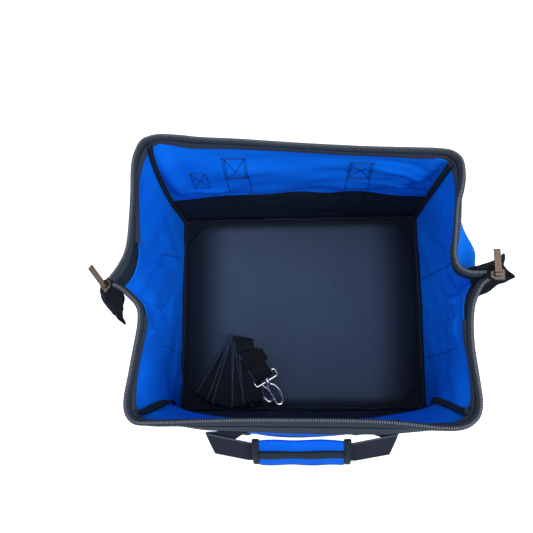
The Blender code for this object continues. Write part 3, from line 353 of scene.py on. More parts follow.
TOOTH_PITCH = 0.0028
TOOTH_LENGTH = 0.0016
TOOTH_WIDTH = 0.0030
TOOTH_SINK = 0.0002
TOOTH_CROWN_SHARE = 0.85

# Both edges of each zip end's cloth, from the slider's mouth to the tip
TAB_EDGES = {
    "left": (
        [
            (-0.2325, 0.0140, 0.2915), (-0.2400, 0.0085, 0.2905), (-0.2465, 0.0010, 0.2885),
            (-0.2455, -0.0060, 0.2860), (-0.2420, -0.0180, 0.2790), (-0.2368, -0.0285, 0.2700),
            (-0.2318, -0.0310, 0.2620), (-0.2228, -0.0414, 0.2550),
        ],
        [
            (-0.2245, 0.0040, 0.2905), (-0.2215, 0.0000, 0.2890), (-0.2185, -0.0050, 0.2860),
            (-0.2175, -0.0100, 0.2840), (-0.2182, -0.0222, 0.2760), (-0.2228, -0.0268, 0.2700),
            (-0.2232, -0.0325, 0.2620), (-0.2211, -0.0400, 0.2550),
        ],
    ),
    "right": (
        [
            (0.2020, 0.0185, 0.2885), (0.2275, 0.0250, 0.2905), (0.2390, 0.0309, 0.2920),
            (0.2453, 0.0356, 0.2930), (0.2467, 0.0308, 0.2925), (0.2440, 0.0262, 0.2920),
            (0.2465, 0.0199, 0.2915), (0.2562, 0.0075, 0.2900),
        ],
        [
            (0.2110, -0.0170, 0.2860), (0.2185, -0.0130, 0.2865), (0.2251, -0.0101, 0.2870),
            (0.2310, -0.0060, 0.2875), (0.2368, -0.0014, 0.2880), (0.2420, 0.0002, 0.2885),
            (0.2463, 0.0017, 0.2890), (0.2560, 0.0060, 0.2895),
        ],
    ),
}
TAB_THICK = 0.0022
TAB_SEED = 41
TAB_RUFFLE = 0.0014
TAB_WAVES = {"longest": 0.030, "shortest": 0.009}
TAB_GRID = (60, 44)
TAB_SEAM_COLUMNS = (3, 6)
TAB_SEAM_START = 8
TAB_SEAM_STOP = 10
TAB_SEAM_LIFT = 0.0013
SLIDER_BACK = 0.008
SLIDER_DROP = 0.0065
THROAT_HALF = 0.0085
THROAT_SPAN = (-0.012, -0.004, 0.015, 0.024)

# Webbing: half a section, in half widths and thicknesses, and the columns of its selvedges, which take a
# painted highlight
RIBBON_SECTION = [(-1.0, 0.0), (-0.97, 0.34), (-0.90, 0.46), (-0.86, 0.36), (-0.45, 0.46), (0.0, 0.5)]
SELVEDGE_COLUMNS = (0, 1, 8, 9, 10, 11, 18, 19)
WEB_STEP = 0.006
FOLD_STEPS = 5

# Carrying handles: half the fold points, measured across and out from the hinge
HANDLE_FOLDS = [(-HANDLE_HALF, -0.002), (-0.112, 0.020), (-0.065, 0.036)]
HANDLE_STAND_OFF = 0.0032
HANDLE_DROOP = {-1: math.radians(50.0), 1: math.radians(70.0)}
HANDLE_WIDTH = 0.038
HANDLE_RISE = 0.0027
LEG_ROWS = 60
WEB_COLUMNS = 12
LEG_BOX_HEIGHT = 0.052
LEG_SEAM_INSET = 0.0030
LEG_SEAM_LIFT = 0.0002

# Padded sleeve and its flap
WRAP_HALF = 0.059
WRAP_HALVES = (0.0235, 0.0070)
WRAP_END_SHARE = 0.90
WRAP_PUFF = 0.0007
WRAP_PUFF_TURN = 95.0
WRAP_PUFF_LAG = 2.1
WRAP_TURNS = 36
WRAP_RINGS = 56
BOUND_PLACE_SHARE = 0.965
BOUND_FULL_SHARE = 0.97
BOUND_OUT = 0.0006
BOUND_PROFILE = [
    (-0.0045, -0.0004), (-0.0042, 0.0008), (-0.0015, 0.0013),
    (0.0015, 0.0013), (0.0042, 0.0008), (0.0045, -0.0004),
]
FLAP_HALF = 0.0525
FLAP_START = math.radians(112.0)
FLAP_SWEEP = math.radians(215.0)
FLAP_BEND = math.radians(3.6)
FLAP_BEND_TURN = 42.0
FLAP_ROOT_SHARE = 0.3
FLAP_WAVE = 0.0006
FLAP_WAVE_TURN = 120.0
FLAP_OUT = 0.0018
FLAP_THICK = 0.0012
FLAP_TRIM_OUT = 0.0019
FLAP_TRIM_THICK = 0.0030
FLAP_EDGE_SPAN = (0.90, 1.01)
FLAP_SEAM_SPAN = (-0.02, 0.10)
FLAP_COLUMNS = 50
FLAP_ROWS = 30
FLAP_TRIM_ROWS = 6

# Ring tabs
ROLL_RADIUS = 0.0023 + WEB / 2
ROLL_START = math.radians(-80)
ROLL_STOP = math.radians(190)
ROLL_STEPS = 14
TAB_FOOT_RISE = 0.002
TAB_MIDDLE_GAP = 0.0006

# Shoulder strap: its fold points in plan, measured from the left and front walls, as in the part
STRAP_FOLDS = [
    (0.112, 0.0500), (0.108, 0.0535), (0.097, 0.063), (0.099, 0.107), (0.042, 0.021), (0.097, 0.111),
    (0.062, 0.013), (0.101, 0.115), (0.072, 0.011), (0.104, 0.117), (0.105, 0.010), (0.108, 0.112),
    (0.124, 0.016), (0.116, 0.095), (0.140, 0.055),
]
STRAP_WIDTH = 0.034
STRAP_THICK = 0.0017
STRAP_LOW = 0.0012
STRAP_PITCH = 0.0027
STRAP_END_RISE = 0.0128
STRAP_ROLL = 0.0056
STRAP_HEM = 0.004

# Metal edges
EASED_WIDTH = 0.0003
EASED_ANGLE = math.radians(40)

# Weaves: thread pitch and relief
FINE_WEAVE = (0.0008, 0.00012)
BAG_WEAVE = (0.0009, 0.00012)
FLOOR_WEAVE = (0.0010, 0.00010)
TRIM_WEAVE = (0.0012, 0.00016)
TAPE_WEAVE = (0.0011, 0.00018)
WEBBING_WEAVE = (0.0016, 0.00030)
WEBBING_RIB = 0.0030
METAL_RELIEF = 0.00003
PLASTIC_RELIEF = 0.00004
# Painted shade on the floor: half sizes beyond which it is full, and how far it fades in towards the middle
FLOOR_SHADE_HALVES = (0.178, 0.156)
FLOOR_SHADE_FADES = (0.070, 0.022)

# Studio
WORLD_LIGHT = 0.375
FLOOR_LIFT = 0.55
FLOOR_REACH = 6.0
FLOOR_DROP = 0.0002

# Lights: place, the point they face, size and power
LIGHTS = {
    "right_softbox": ((1.35, -0.75, 1.75), (0, 0, 0.1), (1.1, 1.1), 30.0),
    "left_softbox": ((-1.45, -0.55, 1.65), (0, 0, 0.1), (1.0, 1.0), 15.0),
    "top_softbox": ((0.1, 0.2, 2.3), (0, 0, 0), (1.6, 1.2), 16.0),
}

# The photograph's camera, fitted to the base and rim corners
CAMERA_PLACE = (0.0065, -0.1123, 1.0359)
CAMERA_RIGHT = (0.9981, -0.0049, -0.0619)
CAMERA_LOOK = (-0.0600, 0.1803, -0.9818)
FOCAL_PIXELS = 620.0
FRAME_PIXELS = 533.0
SENSOR_WIDTH_MM = 36.0


# Numbers along lines and over surfaces


def smooth_line(points, count):
    """An even row of points along a smooth curve through the given ones."""
    given = np.array(points, float)
    ends = np.vstack([2 * given[0] - given[1], given, 2 * given[-1] - given[-2]])
    t = np.linspace(0, 1, CURVE_STEPS, endpoint=False)[:, None]
    runs = []
    for a, b, c, d in zip(ends, ends[1:], ends[2:], ends[3:]):
        square = 2 * a - 5 * b + 4 * c - d
        cube = 3 * b - a - 3 * c + d
        runs.append(0.5 * (2 * b + (c - a) * t + square * t**2 + cube * t**3))
    return even_line(np.vstack([*runs, given[-1:]]), count)


def even_line(points, count):
    """The same line with evenly spaced points."""
    line = np.array(points, float)
    gone = travelled(line)
    at = np.linspace(0.0, gone[-1], count)
    return np.column_stack([np.interp(at, gone, line[:, k]) for k in range(line.shape[1])])


def step_lengths(line):
    return np.linalg.norm(np.diff(line, axis=0), axis=1)


def travelled(line):
    """Distance along a line at each of its points."""
    return np.concatenate([[0.0], np.cumsum(step_lengths(line))])


def ease(value, low, high):
    """A smooth step from 0 at low to 1 at high."""
    t = np.clip((value - low) / (high - low), 0.0, 1.0)
    return t * t * (3 - 2 * t)


def window(value, low, full, last, high):
    """1 from full to last, easing down to 0 at low and high."""
    return ease(value, low, full) * (1 - ease(value, last, high))


def hump(value, middle, reach):
    return np.exp(-(((value - middle) / reach) ** 2))


def arch(share, power):
    """0 at both edges and 1 in the middle."""
    return np.sin(math.pi * share) ** power


def turns(count):
    """Evenly spaced angles once round."""
    return np.linspace(0, 2 * math.pi, count, endpoint=False)


def ripples(a, b, seed, amount, longest, shortest, heading=None, spread=0.5, count=16):
    """Seeded soft wrinkles over two lengths in metres, as a sum of plane waves."""
    draw = np.random.default_rng(seed)
    total = np.zeros(np.broadcast(a, b).shape)
    for _ in range(count):
        wave = draw.uniform(shortest, longest)
        turn = draw.uniform(0, math.pi) if heading is None else heading + draw.normal(0, spread)
        phase = draw.uniform(0, 2 * math.pi)
        place = a * math.cos(turn) + b * math.sin(turn)
        total += wave / longest * np.sin(2 * math.pi * place / wave + phase)
    return amount * total / math.sqrt(count / 4)


def crease(a, b, start, stop, width, depth):
    """One fold line: a ridge, or a valley where depth is negative, from start to stop."""
    start, stop = np.array(start), np.array(stop)
    run = stop - start
    t = np.clip(((a - start[0]) * run[0] + (b - start[1]) * run[1]) / (run @ run), 0, 1)
    gap = np.hypot(a - start[0] - t * run[0], b - start[1] - t * run[1])
    return depth * np.exp(-((gap / width) ** 2)) * arch(np.clip(t, 0.04, 0.96), 0.5)


def lengths_along(grid, axis):
    """Mean distance travelled along one direction of a grid."""
    steps = np.linalg.norm(np.diff(grid, axis=axis), axis=2).mean(axis=1 - axis)
    return np.concatenate([[0.0], np.cumsum(steps)])


def grid_normals(grid):
    turn = np.cross(np.gradient(grid, axis=0), np.gradient(grid, axis=1))
    return turn / np.maximum(np.linalg.norm(turn, axis=2, keepdims=True), 1e-12)


# Meshes from grids of points


class Build:
    """Collects sheets, tubes and stitches, and makes one mesh object from them."""

    def __init__(self):
        self.verts, self.faces, self.uvs, self.kinds = [], [], [], []
        self.used = 0

    def add_face(self, corners, uvs, kind=0):
        self.faces.append(corners)
        self.uvs.extend(uvs)
        self.kinds.append(kind)

    def add_points(self, points):
        first = self.used
        flat = np.asarray(points, float).reshape(-1, 3)
        self.verts.append(flat)
        self.used += len(flat)
        return first

    def add_quads(self, first, grid):
        rows, columns = grid.shape[:2]
        down, across = lengths_along(grid, 0), lengths_along(grid, 1)
        for i in range(rows - 1):
            for j in range(columns - 1):
                low = first + i * columns + j
                high = low + columns
                u0, u1, v0, v1 = across[j], across[j + 1], down[i], down[i + 1]
                self.add_face((low, low + 1, high + 1, high), [(u0, v0), (u1, v0), (u1, v1), (u0, v1)])

    def add_sheet(self, grid, thick):
        """Cloth with two faces and closed edges, half its thickness to each side of the grid."""
        skin = grid_normals(grid) * thick / 2
        rows, columns = grid.shape[:2]
        tops = [self.add_points(grid + skin), self.add_points(grid - skin)]
        for first in tops:
            self.add_quads(first, grid)
        edge = [(i, 0) for i in range(rows)] + [(rows - 1, j) for j in range(1, columns)]
        edge += [(i, columns - 1) for i in range(rows - 2, -1, -1)]
        edge += [(0, j) for j in range(columns - 2, 0, -1)]
        around = [i * columns + j for i, j in edge]
        for a, b in zip(around, around[1:] + around[:1]):
            corners = (tops[0] + a, tops[0] + b, tops[1] + b, tops[1] + a)
            self.add_face(corners, [(0, 0), (thick, 0), (thick, thick), (0, thick)])

    def add_tube(self, grid, closed=False, marked=()):
        """A closed body whose rows are loops round it, with flat ends unless it closes on itself.

        The marked columns take the mesh's second material.
        """
        columns = grid.shape[1]
        if closed:
            grid = np.concatenate([grid, grid[:1]], axis=0)
        first = self.add_points(grid[:-1] if closed else grid)
        self.add_quads_looped(first, grid, closed, marked)
        if not closed:
            for row in (0, len(grid) - 1):
                corners = tuple(first + row * columns + j for j in range(columns))
                self.add_face(corners, [(0.0, 0.0)] * columns)

    def add_quads_looped(self, first, grid, closed, marked):
        rows, columns = grid.shape[:2]
        down = lengths_along(grid, 0)
        across = lengths_along(np.concatenate([grid, grid[:, :1]], axis=1), 1)
        real = rows - 1 if closed else rows
        for i in range(rows - 1):
            low, high = first + i * columns, first + (i + 1) % real * columns
            for j in range(columns):
                k = (j + 1) % columns
                u0, u1, v0, v1 = across[j], across[j + 1], down[i], down[i + 1]
                corners = (low + j, low + k, high + k, high + j)
                self.add_face(corners, [(u0, v0), (u1, v0), (u1, v1), (u0, v1)], int(j in marked))

    def add_stitches(self, line, normal, radius):
        """A row of thread stitches along a line of points that lies on cloth."""
        line = np.array(line, float)
        pitch = STITCH_LENGTH + STITCH_GAP
        count = max(int(round(step_lengths(line).sum() / pitch)), 1)
        marks = even_line(line, count + 1)
        section = [(math.cos(t), math.sin(t)) for t in turns(6)]
        for a, b in zip(marks, marks[1:]):
            run = (b - a) * (STITCH_LENGTH / pitch)
            along = run / np.linalg.norm(run)
            up = np.array(normal, float) - along * np.dot(normal, along)
            up /= np.linalg.norm(up)
            side = np.cross(along, up)
            rings = []
            for t, size in STITCH_PROFILE:
                middle = a + run * t
                rings.append([middle + radius * size * (side * c + up * s) for c, s in section])
            self.add_tube(np.array(rings))

    def finish(self, name, skin, slot, nodes=(), smooth=True, marked_skin=None):
        mesh = bpy.data.meshes.new(name)
        mesh.from_pydata(np.vstack(self.verts).tolist(), [], self.faces)
        layer = mesh.uv_layers.new(name="cloth")
        layer.data.foreach_set("uv", np.array(self.uvs, np.float32).ravel())
        bm = bmesh.new()
        bm.from_mesh(mesh)
        bmesh.ops.recalc_face_normals(bm, faces=bm.faces)
        bm.to_mesh(mesh)
        bm.free()
        mesh.polygons.foreach_set("use_smooth", [smooth] * len(mesh.polygons))
        mesh.set_sharp_from_angle(angle=SHARP)
        mesh.materials.append(skin)
        if marked_skin:
            mesh.materials.append(marked_skin)
            mesh.polygons.foreach_set("material_index", self.kinds)
        made = bpy.data.objects.new(name, mesh)
        bpy.context.collection.objects.link(made)
        if nodes:
            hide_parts(*nodes)
        return made


# Materials


def new_material(name, colour, roughness, metallic=0.0):
    made = bpy.data.materials.new(name)
    made.use_nodes = True
    shader = made.node_tree.nodes["Principled BSDF"]
    shader.inputs["Base Color"].default_value = (*colour, 1.0)
    shader.inputs["Roughness"].default_value = roughness
    shader.inputs["Metallic"].default_value = metallic
    return made, made.node_tree.nodes, made.node_tree.links, shader


def colour_mix(nodes, links, factor, dark, light):
    """Mixes two colours, of which the light one may be another node's output."""
    mix = nodes.new("ShaderNodeMix")
    mix.data_type = "RGBA"
    mix.inputs["A"].default_value = (*dark, 1.0)
    if isinstance(light, tuple):
        mix.inputs["B"].default_value = (*light, 1.0)
    else:
        links.new(light, mix.inputs["B"])
    links.new(factor, mix.inputs["Factor"])
    return mix.outputs["Result"]


def noise(nodes, links, scale, detail=3.0):
    place = nodes.new("ShaderNodeTexCoord")
    made = nodes.new("ShaderNodeTexNoise")
    made.inputs["Scale"].default_value = scale
    made.inputs["Detail"].default_value = detail
    links.new(place.outputs["Object"], made.inputs["Vector"])
    return made.outputs["Fac"]


def threads(nodes, links, pitch, axis):
    """Bands of thread of a real pitch along one direction of the cloth's own map."""
    place = nodes.new("ShaderNodeUVMap")
    place.uv_map = "cloth"
    wave = nodes.new("ShaderNodeTexWave")
    wave.wave_type = "BANDS"
    wave.bands_direction = axis
    wave.inputs["Scale"].default_value = 2 * math.pi / 20 / pitch
    wave.inputs["Distortion"].default_value = 0.3
    links.new(place.outputs["UV"], wave.inputs["Vector"])
    return wave.outputs["Fac"]


def math_node(nodes, links, operation, a, b):
    made = nodes.new("ShaderNodeMath")
    made.operation = operation
    for socket, value in zip(made.inputs, (a, b)):
        if isinstance(value, (int, float)):
            socket.default_value = value
        else:
            links.new(value, socket)
    return made.outputs["Value"]


def map_range(nodes, links, value, limits):
    made = nodes.new("ShaderNodeMapRange")
    for name, limit in limits.items():
        made.inputs[name].default_value = limit
    links.new(value, made.inputs["Value"])
    return made


def add_bump(nodes, links, shader, height, strength, distance):
    bump = nodes.new("ShaderNodeBump")
    bump.inputs["Strength"].default_value = strength
    bump.inputs["Distance"].default_value = distance
    links.new(height, bump.inputs["Height"])
    links.new(bump.outputs["Normal"], shader.inputs["Normal"])


def woven(name, colour, roughness, weave, worn=0.16, across_pitch=None, specular=0.15):
    """Cloth with crossed threads and a slow change of shade. weave is the threads' pitch and relief."""
    pitch, relief = weave
    made, nodes, links, shader = new_material(name, colour, roughness)
    shader.inputs["Specular IOR Level"].default_value = specular
    warp = threads(nodes, links, pitch, "X")
    weft = threads(nodes, links, across_pitch or pitch, "Y")
    cloth = math_node(nodes, links, "MULTIPLY", warp, weft)
    shade = noise(nodes, links, scale=22.0)
    dark = tuple(c * (1 - worn) for c in colour)
    light = tuple(min(c * (1 + worn), 1.0) for c in colour)
    tone = math_node(nodes, links, "ADD", math_node(nodes, links, "MULTIPLY", cloth, 0.35), shade)
    links.new(colour_mix(nodes, links, tone, dark, light), shader.inputs["Base Color"])
    fine = noise(nodes, links, scale=900.0, detail=2.0)
    height = math_node(nodes, links, "ADD", cloth, math_node(nodes, links, "MULTIPLY", fine, 0.4))
    add_bump(nodes, links, shader, height, strength=0.45, distance=relief)
    return made


def painted_edge_shade(made, painted_shade_colour, halves, fades):
    """Darkens a flat cloth's colour towards the edges of the rectangle it covers, as painted shade."""
    nodes, links = made.node_tree.nodes, made.node_tree.links
    base = nodes["Principled BSDF"].inputs["Base Color"]
    place = nodes.new("ShaderNodeTexCoord")
    parts = nodes.new("ShaderNodeSeparateXYZ")
    links.new(place.outputs["Object"], parts.inputs["Vector"])
    inside = 1.0
    for axis, half, fade in zip("XY", halves, fades):
        away = math_node(nodes, links, "ABSOLUTE", parts.outputs[axis], 0.0)
        step = map_range(nodes, links, away, {"From Min": half, "From Max": half - fade})
        step.interpolation_type = "SMOOTHSTEP"
        inside = math_node(nodes, links, "MULTIPLY", step.outputs["Result"], inside)
    links.new(colour_mix(nodes, links, inside, painted_shade_colour, base.links[0].from_socket), base)
    return made


def metal(name, colour, roughness):
    made, nodes, links, shader = new_material(name, colour, roughness, metallic=1.0)
    grain = noise(nodes, links, scale=500.0, detail=4.0)
    dark = tuple(c * 0.75 for c in colour)
    links.new(colour_mix(nodes, links, grain, dark, colour), shader.inputs["Base Color"])
    smear = noise(nodes, links, scale=140.0)
    rough = map_range(nodes, links, smear, {"To Min": roughness * 0.7, "To Max": roughness * 1.5})
    links.new(rough.outputs["Result"], shader.inputs["Roughness"])
    add_bump(nodes, links, shader, grain, strength=0.3, distance=METAL_RELIEF)
    return made


def plastic(name, colour, roughness, specular=0.3):
    made, nodes, links, shader = new_material(name, colour, roughness)
    shader.inputs["Specular IOR Level"].default_value = specular
    grain = noise(nodes, links, scale=700.0, detail=2.0)
    light = tuple(c * 1.6 for c in colour)
    links.new(colour_mix(nodes, links, grain, colour, light), shader.inputs["Base Color"])
    add_bump(nodes, links, shader, grain, strength=0.4, distance=PLASTIC_RELIEF)
    return made


BLUE = woven("blue_cloth", (0.0010, 0.156, 0.830), 0.80, FINE_WEAVE, worn=0.09, specular=0.08)
BLACK = woven("black_cloth", (0.0070, 0.0135, 0.0250), 0.70, BAG_WEAVE)
# Floor cloth: its colour is the lit middle's, taking in the overhead light's glow as a painted highlight,
# and it darkens to painted shade along the walls
FLOOR = painted_edge_shade(
    woven("floor_cloth", (0.052, 0.079, 0.126), 0.75, FLOOR_WEAVE, worn=0.12, specular=0.10),
    (0.0060, 0.0105, 0.0190), FLOOR_SHADE_HALVES, FLOOR_SHADE_FADES,
)
TRIM = woven("trim_cloth", (0.0080, 0.0140, 0.0240), 0.70, TRIM_WEAVE)
TAPE = woven("zip_tape_cloth", (0.020, 0.029, 0.047), 0.70, TAPE_WEAVE)
FACING = woven("hem_facing_cloth", (0.038, 0.050, 0.074), 0.75, TAPE_WEAVE, worn=0.20)
WEBBING = woven(
    "webbing", (0.0105, 0.0140, 0.0270), 0.70, WEBBING_WEAVE, across_pitch=WEBBING_RIB, specular=0.08
)
STRAP = woven(
    "strap_webbing", (0.0055, 0.0085, 0.0145), 0.62, WEBBING_WEAVE, across_pitch=WEBBING_RIB, specular=0.08
)
# Painted highlight: a lighter colour on the webbing's raised edges, also used as the zip ends' thread
# colour
SELVEDGE_HIGHLIGHT_AND_THREAD = woven("selvedge_highlight_and_thread", (0.050, 0.066, 0.100), 0.60, WEBBING_WEAVE)
GRIP = woven("grip_cloth", (0.0010, 0.105, 0.660), 0.80, FINE_WEAVE, worn=0.09, specular=0.08)
ZIP_END = woven("zip_end_cloth", (0.0035, 0.0055, 0.0095), 0.75, TRIM_WEAVE, specular=0.08)
THREAD = plastic("thread", (0.002, 0.006, 0.030), 0.60)
TEETH = plastic("zip_teeth", (0.085, 0.100, 0.125), 0.35)
STEEL = metal("plated_steel", (0.92, 0.92, 0.93), 0.26)
GUNMETAL = metal("dark_plated_metal", (0.10, 0.09, 0.085), 0.35)
BRONZE = metal("bronze_plate", (0.12, 0.085, 0.068), 0.30)
GLIDE = plastic("moulded_black", (0.0025, 0.0035, 0.0055), 0.60, specular=0.08)


# Kinds of piece


def sheet_piece(name, grid, thick, skin, slot, nodes=()):
    build = Build()
    build.add_sheet(np.array(grid), thick)
    return build.finish(name, skin, slot, nodes)


def tube_piece(name, rings, skin, slot, nodes=(), closed=False):
    build = Build()
    build.add_tube(np.array(rings), closed)
    return build.finish(name, skin, slot, nodes)


def webbing_piece(name, stations, thick, skin, node):
    build = Build()
    # The selvedge columns take the painted highlight colour
    build.add_tube(ribbon_grid(denser(stations, WEB_STEP), thick), marked=SELVEDGE_COLUMNS)
    return build.finish(name, skin, "black_webbing", [node], marked_skin=SELVEDGE_HIGHLIGHT_AND_THREAD)


def stitch_piece(name, rows, normal, radius=THREAD_RADIUS, skin=THREAD):
    build = Build()
    for row in rows:
        build.add_stitches(row, normal, radius)
    return build.finish(name, skin, "black_webbing")


def box_corners(low_x, low_z, high_x, high_z):
    return [(low_x, low_z), (high_x, low_z), (high_x, high_z), (low_x, high_z)]


def crossed_box(corners):
    """Rows of stitches round a box and along both its diagonals."""
    return [[*corners, corners[0]], [corners[0], corners[2]], [corners[1], corners[3]]]


def bend(piece, fold):
    """Bakes a piece's place into its mesh; fold, which names the fold at the wall's foot or the one under
    the rim, is not used.
    """
    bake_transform(piece)


# Rim lines


def rim_line(side_name):
    """The rim's points, outward directions and leans, from the left tail to the right one."""
    line = smooth_line(RIM_POINTS[side_name], RIM_COUNT)
    run = np.gradient(line[:, :2], axis=0)
    run /= np.linalg.norm(run, axis=1, keepdims=True)
    out = SIDES[side_name] * np.column_stack([-run[:, 1], run[:, 0]])
    return line[:, :2], out, line[:, 2]


RIMS = {name: rim_line(name) for name in SIDES}


def corner_index(side_name, end_name):
    plan = RIMS[side_name][0]
    return int(np.argmin(np.linalg.norm(plan - np.array(RIM_CORNERS[side_name, end_name]), axis=1)))


def hem_foot(side_name):
    """Plan points of the hem's lower edge, where the walls and ends hang from it."""
    plan, out, lean = RIMS[side_name]
    return plan - out * (lean + FOOT_INSET)[:, None]


FEET = {name: hem_foot(name) for name in SIDES}


# Wall and end surfaces


def lean_share(side_name, share, z):
    """How much of the rim's lean a wall has taken on at height z, share across it from left to right."""
    if side_name == "front":
        return np.clip(z / WALL_TOP_Z, 0, TOP_SHARE) ** FRONT_LEAN_POWER
    power = REAR_LEAN_POWER["left"] * (1 - share) + REAR_LEAN_POWER["right"] * share
    return np.clip((z - CREASE_Z) / (WALL_TOP_Z - CREASE_Z), 0, TOP_SHARE) ** power


def corner_place(side_name, end_name, z):
    """The corner seam's line in plan at height z, without its buckle."""
    side, end = SIDES[side_name], ENDS[end_name]
    low = np.array([end * (HALF_WIDTH - CORNER_INSET_X), side * (HALF_DEPTH - CORNER_INSET_Y)])
    high = FEET[side_name][corner_index(side_name, end_name)]
    t = lean_share(side_name, (end + 1) / 2, np.asarray(z, float))
    return low[0] + (high[0] - low[0]) * t, low[1] + (high[1] - low[1]) * t


def add_buckle(side_name, end_name, x, y, z, gap):
    dx, dy = BUCKLE[side_name, end_name]
    share = np.exp(-np.abs(gap) / BUCKLE_REACH) * hump(z, BUCKLE_Z, BUCKLE_SPAN) * window(z, *BUCKLE_FADE)
    return x + dx * share, y + dy * share


def wall_points(side_name, x, z):
    """Points of a wall's middle surface. x is an array of places across, z of heights."""
    side = SIDES[side_name]
    x, z = np.broadcast_arrays(np.asarray(x, float), np.asarray(z, float))
    left_x, left_y = corner_place(side_name, "left", z)
    right_x, right_y = corner_place(side_name, "right", z)
    share = np.clip((x - left_x) / (right_x - left_x), 0, 1)
    first, last = corner_index(side_name, "left"), corner_index(side_name, "right")
    foot = FEET[side_name][first : last + 1]
    chord = np.interp(foot[:, 0], foot[[0, -1], 0], foot[[0, -1], 1])
    at = (foot[:, 0] - foot[0, 0]) / (foot[-1, 0] - foot[0, 0])
    bow = np.interp(share, at, foot[:, 1] - chord)
    y = left_y + (right_y - left_y) * share + bow * lean_share(side_name, share, z)
    rise = np.clip((z - CREASE_Z) / (WALL_TOP_Z - CREASE_Z), 0, 1)
    y = y + side * arch(share, BULGE_POWER) * BULGE[side] * arch(rise ** FULLNESS[side], 1)
    if side > 0:
        y = y + arch(share, REAR_FOLD_POWER) * REAR_FOLD_BULGE * hump(z, REAR_FOLD_Z, REAR_FOLD_REACH)
    for end_name, edge_x in (("left", left_x), ("right", right_x)):
        x, y = add_buckle(side_name, end_name, x, y, z, x - edge_x)
    fade = arch(share, WALL_FADE_POWER) * window(z, *WALL_FADE)
    y = y + fade * ripples(x, z, WALL_SEED[side], WALL_RIPPLE[side], **WALL_WAVES)
    if side > 0:
        for line in REAR_CREASES:
            y = y + crease(x, z, *line)
    return np.stack([x, y, z], axis=-1)


def wall_grid(side_name, low_z, high_z, rows, out=0.0):
    share = np.linspace(0, 1, WALL_COLUMNS)
    z = np.linspace(low_z, high_z, rows)[:, None]
    left_x, _ = corner_place(side_name, "left", z)
    right_x, _ = corner_place(side_name, "right", z)
    grid = wall_points(side_name, left_x + (right_x - left_x) * share[None, :], z)
    grid[..., 1] += SIDES[side_name] * out
    return grid


def end_top(end_name):
    """The end's upper edge from the rear corner past the zip end to the front corner."""
    rear, front = FEET["rear"], FEET["front"]
    if end_name == "left":
        rear_part = rear[: corner_index("rear", "left") + 1][::-1]
        front_part = front[: corner_index("front", "left") + 1]
    else:
        rear_part = rear[corner_index("rear", "right") :]
        front_part = front[corner_index("front", "right") :][::-1]
    joined = np.vstack([rear_part, front_part])
    keep = [joined[0]]
    for point in joined[1:]:
        if point[1] < keep[-1][1] - 1e-5:
            keep.append(point)
    return np.array(keep)


def end_points(end_name, share, z, out=0.0):
    """Points of an end's surface. share runs from 0 at the rear corner to 1 at the front corner."""
    end = ENDS[end_name]
    share, z = np.broadcast_arrays(np.asarray(share, float), np.asarray(z, float))
    rear_x, rear_y = corner_place("rear", end_name, z)
    front_x, front_y = corner_place("front", end_name, z)
    y = rear_y + (front_y - rear_y) * share
    up = np.clip(z / WALL_TOP_Z, 0, TOP_SHARE)
    top = end_top(end_name)
    top_rear, top_front = top[0], top[-1]
    at = (top[:, 1] - top_rear[1]) / (top_front[1] - top_rear[1])
    flare = np.interp(share, at, top[:, 0] - np.interp(at, [0, 1], [top_rear[0], top_front[0]]))
    x = rear_x + (front_x - rear_x) * share + flare * up**FLARE_POWER
    belly = arch(share, END_BULGE_POWER) * arch(np.clip(up, 0, 1), END_BULGE_RISE_POWER)
    x = x + end * END_BULGE[end] * belly
    for side_name, edge_y in (("rear", rear_y), ("front", front_y)):
        x, y = add_buckle(side_name, end_name, x, y, z, y - edge_y)
    fade = arch(share, END_FADE_POWER) * window(z, *END_FADE)
    x = x + fade * ripples(y, z, END_SEED + end, END_RIPPLE, **END_WAVES)
    for line in END_CREASES[end_name]:
        x = x + end * crease(y, z, *line)
    if end > 0:
        pouch = POUCH_DEPTH * hump(z, POUCH_Z, POUCH_HEIGHT) * (1 - ease(z, *POUCH_FADE))
        out = out + np.where(out > 0, pouch * hump(y, POUCH_Y, POUCH_REACH), 0.0)
    return np.stack([x + end * out, y, z], axis=-1)


# Base


def rounded_outline(half_x, half_y, radius, steps=7):
    points = []
    for quarter, (sx, sy) in enumerate([(1, 1), (-1, 1), (-1, -1), (1, -1)]):
        for turn in np.linspace(quarter, quarter + 1, steps) * math.pi / 2:
            x = sx * (half_x - radius) + radius * math.cos(turn)
            points.append((x, sy * (half_y - radius) + radius * math.sin(turn)))
    return points


def make_base():
    """The base with its rounded lower edge, and the seam round its underside."""
    half_x, half_y = BASE_HIGH.x, BASE_HIGH.y
    rings = []
    for z, inset in BASE_PROFILE:
        outline = rounded_outline(half_x - inset, half_y - inset, BASE_CORNER)
        rings.append([(x, y, z) for x, y in outline])
    base = tube_piece("base_cloth", rings, BLACK, "black_cloth", ["base_panel"])
    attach(base, "root")
    inset = BASE_SEAM_INSET
    outline = np.array(rounded_outline(half_x - inset, half_y - inset, BASE_SEAM_CORNER))
    line = np.column_stack([outline, np.zeros(len(outline))])
    stitches = stitch_piece("base_stitches", [np.vstack([line, line[:1]])], (0, 0, -1))
    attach(stitches, "root")


